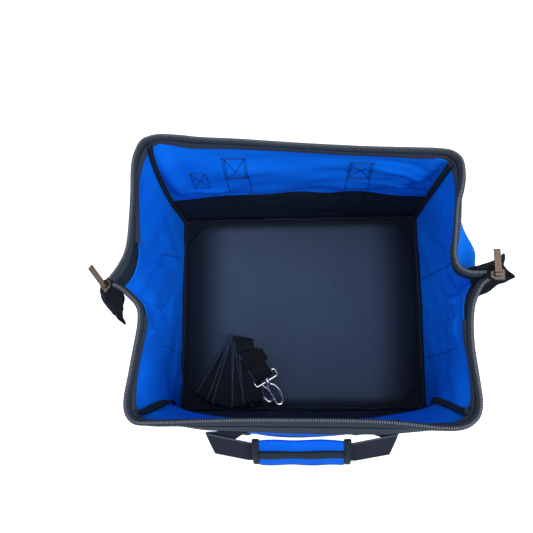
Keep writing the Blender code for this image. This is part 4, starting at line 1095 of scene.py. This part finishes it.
def make_floor():
    """The floor's lining over the board: flat under the strap, softly wrinkled elsewhere."""
    half_x, half_y = HALF_WIDTH - FLOOR_INSET, HALF_DEPTH - FLOOR_INSET
    x = np.linspace(-half_x, half_x, FLOOR_GRID[1])[None, :]
    y = np.linspace(-half_y, half_y, FLOOR_GRID[0])[:, None]
    x, y = np.broadcast_arrays(x, y)
    clear = 1 - (1 - ease(x, *STRAP_PLACE_X)) * (1 - ease(y, *STRAP_PLACE_Y))
    z = FLOOR_TOP_Z - LINING / 2 + 0 * x
    waves = ripples(x, y, FLOOR_SEED, FLOOR_RIPPLE, **FLOOR_WAVES)
    for line in FLOOR_CREASES:
        waves = waves + crease(x, y, *line)
    border = ease(np.minimum(BOARD_HIGH.x - np.abs(x), BOARD_HIGH.y - np.abs(y)), 0.0, FLOOR_BORDER)
    z = z + clear * border * (waves - waves.min()) * FLOOR_WAVE_SHARE
    across = BOARD_HIGH.x - BOARD_MARGIN - np.abs(x)
    along = BOARD_HIGH.y - BOARD_MARGIN - np.abs(y)
    inside = np.minimum(np.minimum(across, along), (across + along - BOARD_CHAMFER) / math.sqrt(2))
    z = z - BOARD_STEP * (1 - ease(inside, -BOARD_EDGE, BOARD_EDGE))
    to_edge = np.minimum(half_x - np.abs(x), half_y - np.abs(y))
    z = z + FLOOR_UPTURN * (1 - ease(to_edge, 0.0, FLOOR_UPTURN_REACH))
    grid = np.stack([x, y, z], axis=-1)
    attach(sheet_piece("floor_lining", grid, LINING, FLOOR, "black_cloth", ["base_board"]), "root")


def make_floor_piping():
    """The bound seam round the floor."""
    half_x, half_y = HALF_WIDTH - PIPING_INSET, HALF_DEPTH - PIPING_INSET
    outline = np.array(rounded_outline(half_x, half_y, PIPING_CORNER, steps=5))
    line = even_line(np.vstack([outline, outline[:1]]), PIPING_COUNT)[:-1]
    inward = -line / np.linalg.norm(line, axis=1, keepdims=True)
    wide, high = PIPING_HALVES
    section = [(wide * math.cos(t), high * math.sin(t)) for t in turns(8)]
    wobble = ripples(line[:, 0], line[:, 1], PIPING_SEED, **PIPING_WAVES)
    middle_z = FLOOR_TOP_Z + PIPING_RISE
    rings = []
    for (x, y), (nx, ny), extra in zip(line, inward, wobble):
        rings.append([(x + nx * (a + extra), y + ny * (a + extra), middle_z + b) for a, b in section])
    piping = tube_piece("floor_piping_cord", rings, TRIM, "black_cloth", ["floor_piping"], closed=True)
    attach(piping, "root")


# Walls


def make_walls(side_name):
    """The black band and the blue wall above it, and the seam between them."""
    for part, node, low_z, high_z, rows, skin, slot, fold in (
        ("lower", "lower_band", WALL_LOW_Z, BAND_TOP_Z, BAND_ROWS, BLACK, "black_cloth", "low"),
        ("upper", "upper_wall", BAND_TOP_Z, UPPER_TOP_Z, UPPER_ROWS, BLUE, "blue_cloth", "high"),
    ):
        grid = wall_grid(side_name, low_z, high_z, rows)
        made = sheet_piece(f"{side_name}_{part}_cloth", grid, CLOTH, skin, slot, [f"{side_name}_{node}"])
        bend(made, fold)
    strip = wall_grid(side_name, BAND_TOP_Z - SEAM_HALF, BAND_TOP_Z + SEAM_HALF, SEAM_ROWS, out=CLOTH)
    seam = sheet_piece(f"{side_name}_band_seam", strip, SEAM_THICK, TRIM, "black_cloth")
    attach(seam, f"{side_name}_wall")


def on_wall(side_name, row):
    """A line over a wall's inner face through places across and up."""
    side = SIDES[side_name]
    line = np.array(row, float)
    dense = even_line(line, max(int(step_lengths(line).sum() / LINE_STEP), 2))
    places = wall_points(side_name, dense[:, 0], dense[:, 1])
    places[:, 1] -= side * THREAD_DEPTH[side]
    return places


def make_wall_stitches(side_name):
    """Thread that shows on a wall: the handles' and ring's boxes and the rows beside the seams."""
    inner = (0, -SIDES[side_name], 0)
    low_z, high_z = HANDLE_BOX_Z
    upper, lower = [], []
    for x in (-HANDLE_HALF, HANDLE_HALF):
        low_x, high_x = x - LEG_SEAM_HALF, x + LEG_SEAM_HALF
        a, b, c, d = box_corners(low_x, low_z, high_x, high_z)
        inset = INNER_BOX_INSET
        small = box_corners(low_x + inset, low_z + inset, high_x - inset, high_z - inset)
        upper += [[a, b, c, d, a], [a, c], [d, b], [*small, small[0]]]
        for edge in (low_x, high_x):
            upper.append([(edge, BAND_TOP_Z + LEG_SEAM_ABOVE_BAND), (edge, low_z)])
            lower.append([(edge, LEG_SEAM_LOW_Z), (edge, BAND_TOP_Z - LEG_SEAM_BELOW_BAND)])
    if side_name == "rear":
        low_x, high_x = RING_BOX_X - RING_BOX_HALF, RING_BOX_X + RING_BOX_HALF
        upper += crossed_box(box_corners(low_x, RING_BOX_Z[0], high_x, RING_BOX_Z[1]))
    for part, rows, fold in (("wall", upper, "high"), ("band", lower, "low")):
        lines = [on_wall(side_name, row) for row in rows]
        bend(stitch_piece(f"{side_name}_{part}_stitches", lines, inner), fold)


def corner_strip(side_name, end_name, low_z, high_z):
    """The bound corner seam inside the bag, a rounded strip folded over the two cloths' edges."""
    side, end = SIDES[side_name], ENDS[end_name]
    z = np.linspace(low_z, high_z, BINDING_ROWS)
    x, y = corner_place(side_name, end_name, z)
    x, y = add_buckle(side_name, end_name, x, y, z, 0.0)
    halves = BINDING_HALF + 0 * z
    if (side, end) == (-1, -1):
        leaf = arch(np.clip((z - LEAF_LOW_Z) / LEAF_HEIGHT, 0, 1), LEAF_POWER)
        halves = LEAF_HALF * (LEAF_STEM_SHARE + (1 - LEAF_STEM_SHARE) * leaf)
    rings = []
    for cx, cy, cz, half in zip(x, y, z, halves):
        middle = np.array([cx - end * BINDING_INSET_X, cy - side * BINDING_INSET_Y, cz])
        section = []
        for t in turns(12):
            a, b = math.cos(t), math.sin(t)
            depth = BINDING_DEPTH * b * (BINDING_ROUND_SHARE - BINDING_SKEW_SHARE * a)
            section.append(middle + np.array([-end * depth, -side * half * a, 0.0]))
        rings.append(section)
    return rings


def make_corner(side_name, end_name):
    """A corner binding in two lengths, split at the top of the black band."""
    name = f"{side_name}_{end_name}"
    for part, low_z, high_z, fold, nodes in (
        ("lower", WALL_LOW_Z, BAND_TOP_Z, "low", [f"corner_binding_{name}"]),
        ("upper", BAND_TOP_Z, WALL_TOP_Z + BINDING_OVERLAP, "high", []),
    ):
        rings = corner_strip(side_name, end_name, low_z, high_z)
        bend(tube_piece(f"corner_{name}_{part}", rings, TRIM, "black_cloth", nodes), fold)


# Ends


def lay_down(piece):
    """Attaches a half of an end's lining, or its stitches, to the root body, with a mesh of its own."""
    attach(piece, "root")
    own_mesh(piece)


def standing_top(share):
    """Where the standing part of an end gives way to its folding halves."""
    return CREASE_Z + STANDING_RISE * arch(share, STANDING_POWER)


def end_grid(end_name, span, low_z, high_z, counts, out):
    """A sheet of an end over a span of shares. low_z and high_z give the heights at given shares."""
    share = np.linspace(*span, counts[1])[None, :]
    low, high = low_z(share), high_z(share)
    z = low + (high - low) * np.linspace(0, 1, counts[0])[:, None]
    return end_points(end_name, share, z, out=out)


def end_foot(share):
    return WALL_LOW_Z + 0 * share


def end_head(share):
    return WALL_TOP_Z + 0 * share


def gusset_foot(share):
    return standing_top(share) - GUSSET_OVERLAP


def make_lining(end_name, side_name):
    """Half of an end's inner face."""
    grid = end_grid(end_name, HALVES[side_name], end_foot, end_head, LINING_GRID, LINING_OUT)
    nodes = [f"{end_name}_end_panel"] if side_name == "rear" else []
    half = sheet_piece(f"{end_name}_lining_{side_name}", grid, LINING, BLUE, "blue_cloth", nodes)
    lay_down(half)


def make_lining_stitches(end_name, side_name):
    """The pocket's seams, which show through a half of the lining."""
    rows = []
    for low_y, top_y, top_z in POCKET_SEAMS[end_name]:
        if low_y * SIDES[side_name] > 0:
            place = (HALF_DEPTH - np.linspace(low_y, top_y, LINE_COUNT)) / (2 * HALF_DEPTH)
            heights = np.linspace(POCKET_SEAM_LOW_Z, top_z, LINE_COUNT)
            rows.append(end_points(end_name, place, heights, out=POCKET_SEAM_OUT))
    stitches = stitch_piece(f"{end_name}_lining_stitches_{side_name}", rows, (-ENDS[end_name], 0, 0))
    lay_down(stitches)


def make_standing_end(end_name):
    """The outer cloth of an end's lower part, which stays upright."""
    grid = end_grid(end_name, (0.0, 1.0), end_foot, standing_top, STANDING_GRID, STANDING_OUT)
    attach(sheet_piece(f"{end_name}_tub_end", grid, LINING, BLUE, "blue_cloth"), "root")


def make_gusset(end_name, side_name):
    """Half of an end's outer cloth above the standing part."""
    grid = end_grid(end_name, HALVES[side_name], gusset_foot, end_head, GUSSET_GRID, GUSSET_OUT)
    half = sheet_piece(f"{end_name}_gusset_{side_name}", grid, LINING, BLUE, "blue_cloth")
    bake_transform(half)


def make_pocket(end_name):
    """The open pocket on the outside of an end, with its bound top edge."""
    end = ENDS[end_name]
    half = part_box(f"{end_name}_pocket")[1].y
    high_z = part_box(f"{end_name}_pocket_binding")[1].z
    y = np.linspace(-half, half, POCKET_COLUMNS)[None, :]
    share = (HALF_DEPTH - y) / (2 * HALF_DEPTH)
    round_y = 1 - (y / half) ** 2
    top = high_z - POCKET_SCOOP * np.cos(math.pi / 2 * y / half)

    def pocket_grid(first, last, rows, out):
        z = first + (last - first) * np.linspace(0, 1, rows)[:, None]
        full = ((z - WALL_LOW_Z) / (high_z - WALL_LOW_Z)) ** POCKET_FULL_POWER
        off = POCKET_OUT + POCKET_STAND_OFF * round_y * full + out
        off = off + POCKET_RIPPLE * ripples(y, z, POCKET_SEED + end, 1.0, **POCKET_WAVES) * full * round_y
        return end_points(end_name, share, z, out=off)

    cloth = pocket_grid(WALL_LOW_Z + 0 * top, top, POCKET_ROWS, 0.0)
    name = f"{end_name}_pocket"
    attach(sheet_piece(f"{name}_cloth", cloth, CLOTH, BLUE, "blue_cloth", [name]), "root")
    strip = pocket_grid(top - POCKET_BOUND, top + POCKET_BOUND_OVER, POCKET_BOUND_ROWS, POCKET_BOUND_OUT)
    edge = sheet_piece(f"{name}_edge", strip, POCKET_BOUND_THICK, TRIM, "black_cloth", [f"{name}_binding"])
    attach(edge, "root")


# Rim: hem, zip tape and teeth


def swept(side_name, section, ruck=0.0, skip=0):
    """Points of a section swept along the rim, sheared inwards by the rim's lean."""
    plan, out, lean = RIMS[side_name]
    section = np.array(section)
    n, z = section[:, 0][None, :], section[:, 1][None, :]
    shear = lean[:, None] * (HEM_TOP_Z - z) / (HEM_TOP_Z - HEM_LOW_Z)
    along = travelled(plan)[:, None]
    tail = 1 - window(along, 0.0, TAIL_REACH, along.max() - TAIL_REACH, along.max())
    loose = ruck * (1 + TAIL_RUCK * tail) * ripples(along, z * 2, RUCK_SEED, 1.0, **RUCK_WAVES)
    away = n - shear + loose * (HEM_TOP_Z - z) / (HEM_TOP_Z - HEM_LOW_Z)
    x = plan[:, 0][:, None] + out[:, 0][:, None] * away
    y = plan[:, 1][:, None] + out[:, 1][:, None] * away
    points = np.stack([x, y, np.broadcast_to(z, x.shape)], axis=-1)
    return points[skip : RIM_COUNT - skip]


def make_rim(side_name):
    """The hem round the wire, the folded zip tape on it, its facings and their seams."""
    rim = f"{side_name}_rim"
    nodes = [f"{side_name}_rim_hem", f"{side_name}_frame_wire"]
    hem = tube_piece(f"{side_name}_hem", swept(side_name, HEM_SECTION, RUCK), TRIM, "black_cloth", nodes)
    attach(hem, rim)
    tape = sheet_piece(f"{side_name}_tape", swept(side_name, TAPE_SECTION), TAPE_THICK, TAPE, "black_cloth")
    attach(tape, rim)
    for name, section, skin in (("inner", INNER_FACING, FACING), ("outer", OUTER_FACING, TAPE)):
        strip = swept(side_name, section, RUCK, FACING_START)
        facing = sheet_piece(f"{side_name}_{name}_facing", strip, FACING_THICK, skin, "black_cloth")
        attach(facing, rim)
    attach(make_teeth(side_name), rim)
    rows = []
    for n in (-HEM_SEAM_OUT, HEM_SEAM_OUT):
        rows.append(swept(side_name, [(n, HEM_SEAM_Z)] * 2, RUCK, FACING_START)[:, 0])
    stitches = stitch_piece(f"{side_name}_hem_stitches", rows, (0, 0, 1), FINE_THREAD_RADIUS)
    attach(stitches, rim)


def make_teeth(side_name):
    """Moulded teeth, one by one, on the tape's top edge."""
    plan, out, _ = RIMS[side_name]
    gone = travelled(plan)
    low, high = HEM_TOP_Z - TOOTH_SINK, TEETH_TOP_Z
    at = np.arange(TOOTH_PITCH, gone[-1] - TOOTH_PITCH, TOOTH_PITCH)
    marks = np.column_stack([np.interp(at, gone, column) for column in (*plan.T, *out.T)])
    runs = np.gradient(marks[:, :2], axis=0)
    build = Build()
    for (x, y, nx, ny), run in zip(marks, runs):
        along = run / np.linalg.norm(run) * TOOTH_LENGTH / 2
        across = np.array([nx, ny]) / math.hypot(nx, ny) * TOOTH_WIDTH / 2
        rings = []
        for z, size in ((low, 1.0), ((low + high) / 2, 1.0), (high, TOOTH_CROWN_SHARE)):
            ring = []
            for a, b in ((-1, -1), (1, -1), (1, 1), (-1, 1)):
                place = (along * a + across * b) * size
                ring.append((x + place[0], y + place[1], z))
            rings.append(ring)
        build.add_tube(np.array(rings))
    nodes = [f"{side_name}_zip_tape"]
    return build.finish(f"{side_name}_teeth", TEETH, "black_plastic", nodes, smooth=False)


# Zip ends


def zip_frame(end_name):
    """Frame of a zip end: x along the slider, z up through its puller's bridge."""
    along = Vector(JOINTS[f"{end_name}_slider_run"]["axis"]).normalized()
    across = Vector((0, 0, 1)).cross(along).normalized()
    up = along.cross(across)
    bridge = Vector(JOINTS[f"{end_name}_puller_swing"]["pos_m"])
    place = bridge - along * SLIDER_BACK - up * SLIDER_DROP
    turn = Matrix((along, across, up)).transposed().to_4x4()
    return Matrix.Translation(place) @ turn


def make_zip_tab(end_name):
    """The crumpled black cloth end that closes the zip, through the slider's throat."""
    place = np.array(zip_frame(end_name))
    first, second = (smooth_line(points, TAB_GRID[0]) for points in TAB_EDGES[end_name])
    share = np.linspace(0, 1, TAB_GRID[1])[None, :, None]
    local = (first[:, None, :] * (1 - share) + second[:, None, :] * share - place[:3, 3]) @ place[:3, :3]
    x, y, z = local[..., 0], local[..., 1], local[..., 2]
    throat = hump(y, 0.0, THROAT_HALF) * window(x, *THROAT_SPAN)
    loose = (1 - throat) * TAB_RUFFLE * ripples(x, y, TAB_SEED + ENDS[end_name], 1.0, **TAB_WAVES)
    local[..., 2] = z * (1 - throat) + loose
    points = local @ place[:3, :3].T + place[:3, 3]
    name = f"{end_name}_zip_end"
    tab = sheet_piece(f"{name}_cloth", points, TAB_THICK, ZIP_END, "black_cloth", [f"{end_name}_zip_tab"])
    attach(tab, name)
    lift = np.array([0, 0, TAB_SEAM_LIFT])
    rows = [points[TAB_SEAM_START:-TAB_SEAM_STOP, column] + lift for column in TAB_SEAM_COLUMNS]
    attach(stitch_piece(f"{name}_stitches", rows, (0, 0, 1), FINE_THREAD_RADIUS, SELVEDGE_HIGHLIGHT_AND_THREAD), name)


# Webbing: handles, tabs and strap


def folded_stations(points, width, up, rises, first_across=None, last_across=None):
    """Stations of a ribbon that folds flat back on itself wherever its path turns back."""
    stations = []
    face, layer, heights = 1.0, Vector((0, 0, 0)), iter(rises)
    last = len(points) - 1
    for i, point in enumerate(points):
        into = (point - points[i - 1]).normalized() if i else None
        away = (points[i + 1] - point).normalized() if i < last else None
        if into is None or away is None:
            run = into or away
            given = first_across if into is None else last_across
            stations.append((point + layer, given or up.cross(run) * face * width / 2, up * face))
        elif into.dot(away) > 0:
            run = (into + away).normalized()
            stations.append((point + layer, up.cross(run) * face * width / 2 / run.dot(into), up * face))
        else:
            rise = next(heights)
            nose = into - away
            nose = (nose - up * nose.dot(up)).normalized()
            fold = up.cross(nose) * face * width / 2 / nose.dot(into)
            lift = up * math.copysign(1.0, rise)
            centre = point + layer + up * rise / 2
            for turn in np.linspace(-math.pi / 2, math.pi / 2, FOLD_STEPS):
                out = nose * math.cos(turn) + lift * math.sin(turn)
                normal = -out * face * math.copysign(1.0, rise)
                stations.append((centre + out * abs(rise) / 2, fold, normal))
            layer = layer + up * rise
            face = -face
    return stations


def ribbon_grid(stations, thick):
    """Loops of a woven strip with slightly raised selvedges."""
    half = RIBBON_SECTION + [(-a, b) for a, b in reversed(RIBBON_SECTION[:-1])]
    loop = half + [(a, -b) for a, b in reversed(half[1:-1])]
    rings = []
    for middle, across, normal in stations:
        n = normal.normalized() * thick
        rings.append([tuple(middle + across * a + n * b) for a, b in loop])
    return np.array(rings)


def denser(stations, step):
    """Adds stations along the straight runs."""
    made = [stations[0]]
    for a, b in zip(stations, stations[1:]):
        count = max(int((b[0] - a[0]).length / step), 1)
        for k in range(1, count + 1):
            made.append(tuple(p.lerp(q, k / count) for p, q in zip(a, b)))
    return made


def make_handle_leg(side_name, end_name):
    """A leg of a handle, sewn up the wall's outside, and its stitches."""
    side, wall = SIDES[side_name], f"{side_name}_wall"
    node = f"{side_name}_handle_leg_{end_name}"
    low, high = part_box(node)
    x = np.linspace(low.x, high.x, WEB_COLUMNS)[None, :]
    z = np.linspace(low.z, high.z, LEG_ROWS)[:, None]
    grid = wall_points(side_name, x, z)
    grid[..., 1] += side * (CLOTH / 2 + WEB_GAP + WEB / 2)
    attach(sheet_piece(f"{side_name}_leg_{end_name}", grid, WEB, WEBBING, "black_webbing", [node]), wall)
    low_x, high_x = low.x + LEG_SEAM_INSET, high.x - LEG_SEAM_INSET
    corners = box_corners(low_x, high.z - LEG_BOX_HEIGHT, high_x, high.z - LEG_SEAM_INSET)
    rows = []
    for row in [*crossed_box(corners), [(low_x, low.z), corners[0]], [(high_x, low.z), corners[1]]]:
        dense = even_line(row, LINE_COUNT)
        line = wall_points(side_name, dense[:, 0], dense[:, 1])
        line[:, 1] += side * (CLOTH / 2 + WEB_GAP + WEB + LEG_SEAM_LIFT)
        rows.append(line)
    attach(stitch_piece(f"{side_name}_leg_stitches_{end_name}", rows, (0, side, 0)), wall)


def handle_points(side_name):
    """The handle's fold points and outward direction, from the frame's hinge and the wall's surface."""
    side = SIDES[side_name]
    hinge = Vector(JOINTS[f"{side_name}_handle_swing"]["pos_m"])
    feet = wall_points(side_name, np.array([-HANDLE_HALF, HANDLE_HALF]), hinge.z)[:, 1]
    feet = feet + side * HANDLE_STAND_OFF
    slope = (feet[1] - feet[0]) / (2 * HANDLE_HALF)
    droop = HANDLE_DROOP[side]
    out = Vector((0.0, side * math.cos(droop), -math.sin(droop)))
    along = Vector((1, slope, 0)).normalized()
    start = Vector((0, feet.mean(), hinge.z))
    plan = HANDLE_FOLDS + [(-a, b) for a, b in reversed(HANDLE_FOLDS)]
    return [start + along * a + out * b for a, b in plan], out


def make_handle(side_name):
    """The free loop of a handle, one ribbon with a flat fold at each side."""
    points, out = handle_points(side_name)
    x = Vector((1, 0, 0))
    up = x.cross(out).normalized()
    face = Vector((0, SIDES[side_name], 1))
    rise = HANDLE_RISE * math.copysign(1.0, up.dot(face))
    first = up.cross((points[1] - points[0]).normalized())
    across = x * math.copysign(HANDLE_WIDTH / 2, first.x)
    stations = folded_stations(points, HANDLE_WIDTH, up, (rise, -rise), across, across)
    node = f"{side_name}_handle_webbing"
    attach(webbing_piece(f"{side_name}_handle_strap", stations, WEB, WEBBING, node), f"{side_name}_handle")


def wrap_frame():
    """The sleeve's centre, and its wide and thin directions."""
    points, out = handle_points("front")
    droop = HANDLE_DROOP[-1]
    thin = Vector((0, -math.sin(droop), math.cos(droop)))
    return (points[2] + points[3]) / 2 + thin * HANDLE_RISE, out, thin


def wrap_point(x, turn, out=0.0, full=1.0):
    """A point round the sleeve at a place along it."""
    centre, wide, thin = WRAP_FRAME
    a = (WRAP_HALVES[0] * full + out) * math.cos(turn)
    b = (WRAP_HALVES[1] * full + out) * math.sin(turn)
    return tuple(centre + Vector((x, 0, 0)) + wide * a + thin * b)


WRAP_FRAME = wrap_frame()


def make_wrap():
    """The padded sleeve, puffed between its bound ends."""
    rings = []
    for x in np.linspace(-WRAP_HALF, WRAP_HALF, WRAP_RINGS):
        at = abs(x) / WRAP_HALF
        full = WRAP_END_SHARE + (1 - WRAP_END_SHARE) * (1 - at**4)
        ring = []
        for turn in turns(WRAP_TURNS):
            wave = math.sin(x * WRAP_PUFF_TURN + WRAP_PUFF_LAG * math.sin(turn))
            ring.append(wrap_point(x, turn, WRAP_PUFF * wave * (1 - at**6), full))
        rings.append(ring)
    wrap = tube_piece("grip_sleeve", rings, GRIP, "blue_cloth", ["grip_wrap"])
    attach(wrap, "front_handle")
    for end_name, end in ENDS.items():
        middle = end * WRAP_HALF * BOUND_PLACE_SHARE
        rings = []
        for dx, grow in BOUND_PROFILE:
            out = grow + BOUND_OUT
            rings.append([wrap_point(middle + dx, t, out, BOUND_FULL_SHARE) for t in turns(WRAP_TURNS)])
        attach(tube_piece(f"grip_end_{end_name}", rings, TRIM, "black_cloth"), "front_handle")


def flap_grid(span, rows, out):
    grid = []
    for share in np.linspace(*span, rows):
        row = []
        for x in np.linspace(-FLAP_HALF, FLAP_HALF, FLAP_COLUMNS):
            turn = FLAP_START - FLAP_SWEEP * share
            turn += FLAP_BEND * math.sin(x * FLAP_BEND_TURN) * (FLAP_ROOT_SHARE + share)
            row.append(wrap_point(x, turn, out + FLAP_WAVE * math.sin(x * FLAP_WAVE_TURN)))
        grid.append(row)
    return grid


def make_flap():
    """The flap over the sleeve: sewn on the upper inner side, bound in black along both edges."""
    cloth = flap_grid((0.0, 1.0), FLAP_ROWS, FLAP_OUT)
    flap = sheet_piece("grip_flap_cloth", cloth, FLAP_THICK, GRIP, "blue_cloth", ["grip_flap"])
    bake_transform(flap)
    for part, span, body in (("edge", FLAP_EDGE_SPAN, "flap"), ("seam", FLAP_SEAM_SPAN, "front_handle")):
        strip = flap_grid(span, FLAP_TRIM_ROWS, FLAP_TRIM_OUT)
        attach(sheet_piece(f"grip_flap_{part}", strip, FLAP_TRIM_THICK, TRIM, "black_cloth"), body)


def make_ring_tab(side_name):
    """The webbing tab rolled round the ring's bar and sewn to the wall."""
    side = SIDES[side_name]
    hinge = Vector(JOINTS[f"{side_name}_ring_swing"]["pos_m"])
    node = f"{side_name}_ring_tab"
    low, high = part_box(node)
    line = []
    for turn in np.linspace(ROLL_START, ROLL_STOP, ROLL_STEPS):
        dy, dz = side * ROLL_RADIUS * math.cos(turn), ROLL_RADIUS * math.sin(turn)
        line.append((hinge.y + dy, hinge.z + dz))
    for z, gap in (((low.z + hinge.z) / 2, TAB_MIDDLE_GAP), (low.z + TAB_FOOT_RISE, WEB_GAP)):
        wall_y = wall_points(side_name, hinge.x, z)[1]
        line.append((wall_y + side * (CLOTH / 2 + gap + WEB / 2), z))
    places = np.linspace(low.x, high.x, WEB_COLUMNS)
    rows = [[(x, y, z) for x in places] for y, z in even_line(line, LINE_COUNT)]
    tab = sheet_piece(f"{side_name}_ring_strip", rows, WEB, WEBBING, "black_webbing", [node])
    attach(tab, f"{side_name}_wall")


def make_strap():
    """One unbroken ribbon, folded on itself, with each end turned back round its hook's bail."""
    up = Vector((0, 0, 1))
    low = FLOOR_TOP_Z + STRAP_LOW
    points = [Vector((x - HALF_WIDTH, y - HALF_DEPTH, low)) for x, y in STRAP_FOLDS]
    for point in points[:2]:
        point.z += STRAP_END_RISE
    points = [point - up * STRAP_ROLL for point in points]
    low_hem = points[0] + (points[1] - points[0]).normalized() * STRAP_HEM
    high_hem = points[-1] + (points[-2] - points[-1]).normalized() * STRAP_HEM
    rises = [STRAP_ROLL, *[STRAP_PITCH] * (len(STRAP_FOLDS) - 4), STRAP_ROLL]
    stations = folded_stations([low_hem, *points, high_hem], STRAP_WIDTH, up, rises)
    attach(webbing_piece("carry_strap", stations, STRAP_THICK, STRAP, "shoulder_strap"), "strap")


# Pieces kept from the frame


def finish_hardware():
    """Materials and eased edges for the frame's own solids that stay in view."""
    for node, made in frame["nodes"].items():
        if made.hide_render:
            continue
        skin, slot = STEEL, "plated_steel"
        if node.endswith("zip_puller"):
            skin, slot = BRONZE, "bronze_puller"
        if node.endswith("zip_slider"):
            skin = GUNMETAL
        if node == "strap_glide":
            skin, slot = GLIDE, "black_plastic"
        made.data.materials.clear()
        made.data.materials.append(skin)
        if node != "strap_glide":
            eased = made.modifiers.new("eased_edges", "BEVEL")
            eased.width = EASED_WIDTH
            eased.segments = 2
            eased.limit_method = "ANGLE"
            eased.angle_limit = EASED_ANGLE


# Studio


def add_light(name, place, target, size, power):
    data = bpy.data.lights.new(name, "AREA")
    data.shape = "RECTANGLE"
    data.size, data.size_y = size
    data.energy = power
    lamp = bpy.data.objects.new(name, data)
    bpy.context.collection.objects.link(lamp)
    lamp.location = place
    lamp.rotation_euler = (Vector(target) - Vector(place)).to_track_quat("-Z", "Y").to_euler()


def seen_rays(nodes, links, names):
    """1 for a ray of any of the named kinds, so that it doesn't change the light on the object."""
    path = nodes.new("ShaderNodeLightPath")
    seen = path.outputs[names[0]]
    for name in names[1:]:
        seen = math_node(nodes, links, "MAXIMUM", seen, path.outputs[name])
    return seen


def make_world():
    """A soft even light that a camera or mirror sees as white."""
    world = bpy.data.worlds.new("studio")
    bpy.context.scene.world = world
    world.use_nodes = True
    nodes, links = world.node_tree.nodes, world.node_tree.links
    back = nodes["Background"]
    back.inputs["Color"].default_value = (1.0, 1.0, 1.0, 1.0)
    seen = seen_rays(nodes, links, ("Is Camera Ray", "Is Glossy Ray"))
    strength = map_range(nodes, links, seen, {"To Min": WORLD_LIGHT, "To Max": 1.0})
    links.new(strength.outputs["Result"], back.inputs["Strength"])


def make_studio_floor():
    """A pale floor, lifted to white only where it is seen."""
    mesh = bpy.data.meshes.new("studio_floor")
    corners = [(FLOOR_REACH * a, FLOOR_REACH * b, 0) for a, b in ((-1, -1), (1, -1), (1, 1), (-1, 1))]
    mesh.from_pydata(corners, [], [(0, 1, 2, 3)])
    floor = bpy.data.objects.new("studio_floor", mesh)
    bpy.context.collection.objects.link(floor)
    floor.location.z = -FLOOR_DROP
    white, nodes, links, shader = new_material("studio_white", (0.90, 0.90, 0.90), 0.9)
    shader.inputs["Emission Color"].default_value = (1, 1, 1, 1)
    seen = seen_rays(nodes, links, ("Is Camera Ray", "Is Glossy Ray", "Is Transmission Ray"))
    lift = math_node(nodes, links, "MULTIPLY", seen, FLOOR_LIFT)
    links.new(lift, shader.inputs["Emission Strength"])
    mesh.materials.append(white)


def make_camera():
    data = bpy.data.cameras.new("photo_camera")
    data.sensor_width = SENSOR_WIDTH_MM
    data.lens = FOCAL_PIXELS / FRAME_PIXELS * data.sensor_width
    camera = bpy.data.objects.new("photo_camera", data)
    bpy.context.collection.objects.link(camera)
    look = Vector(CAMERA_LOOK).normalized()
    right = Vector(CAMERA_RIGHT).normalized()
    up = right.cross(look).normalized()
    turn = Matrix((right, up, -look)).transposed()
    camera.matrix_world = Matrix.Translation(CAMERA_PLACE) @ turn.to_4x4()
    bpy.context.scene.camera = camera


def make_studio():
    bpy.context.scene.view_settings.view_transform = "Standard"
    make_world()
    make_studio_floor()
    for name, light in LIGHTS.items():
        add_light(name, *light)
    make_camera()


def main():
    make_base()
    make_floor()
    make_floor_piping()
    for side_name in SIDES:
        make_walls(side_name)
        make_wall_stitches(side_name)
        make_rim(side_name)
        for end_name in ENDS:
            make_handle_leg(side_name, end_name)
        make_handle(side_name)
        make_ring_tab(side_name)
        for end_name in ENDS:
            make_corner(side_name, end_name)
    for end_name in ENDS:
        for side_name in HALVES:
            make_lining(end_name, side_name)
        make_standing_end(end_name)
        for side_name in HALVES:
            make_gusset(end_name, side_name)
        for side_name in SIDES:
            make_lining_stitches(end_name, side_name)
        make_pocket(end_name)
        make_zip_tab(end_name)
    make_wrap()
    make_flap()
    make_strap()
    finish_hardware()
    make_studio()


main()
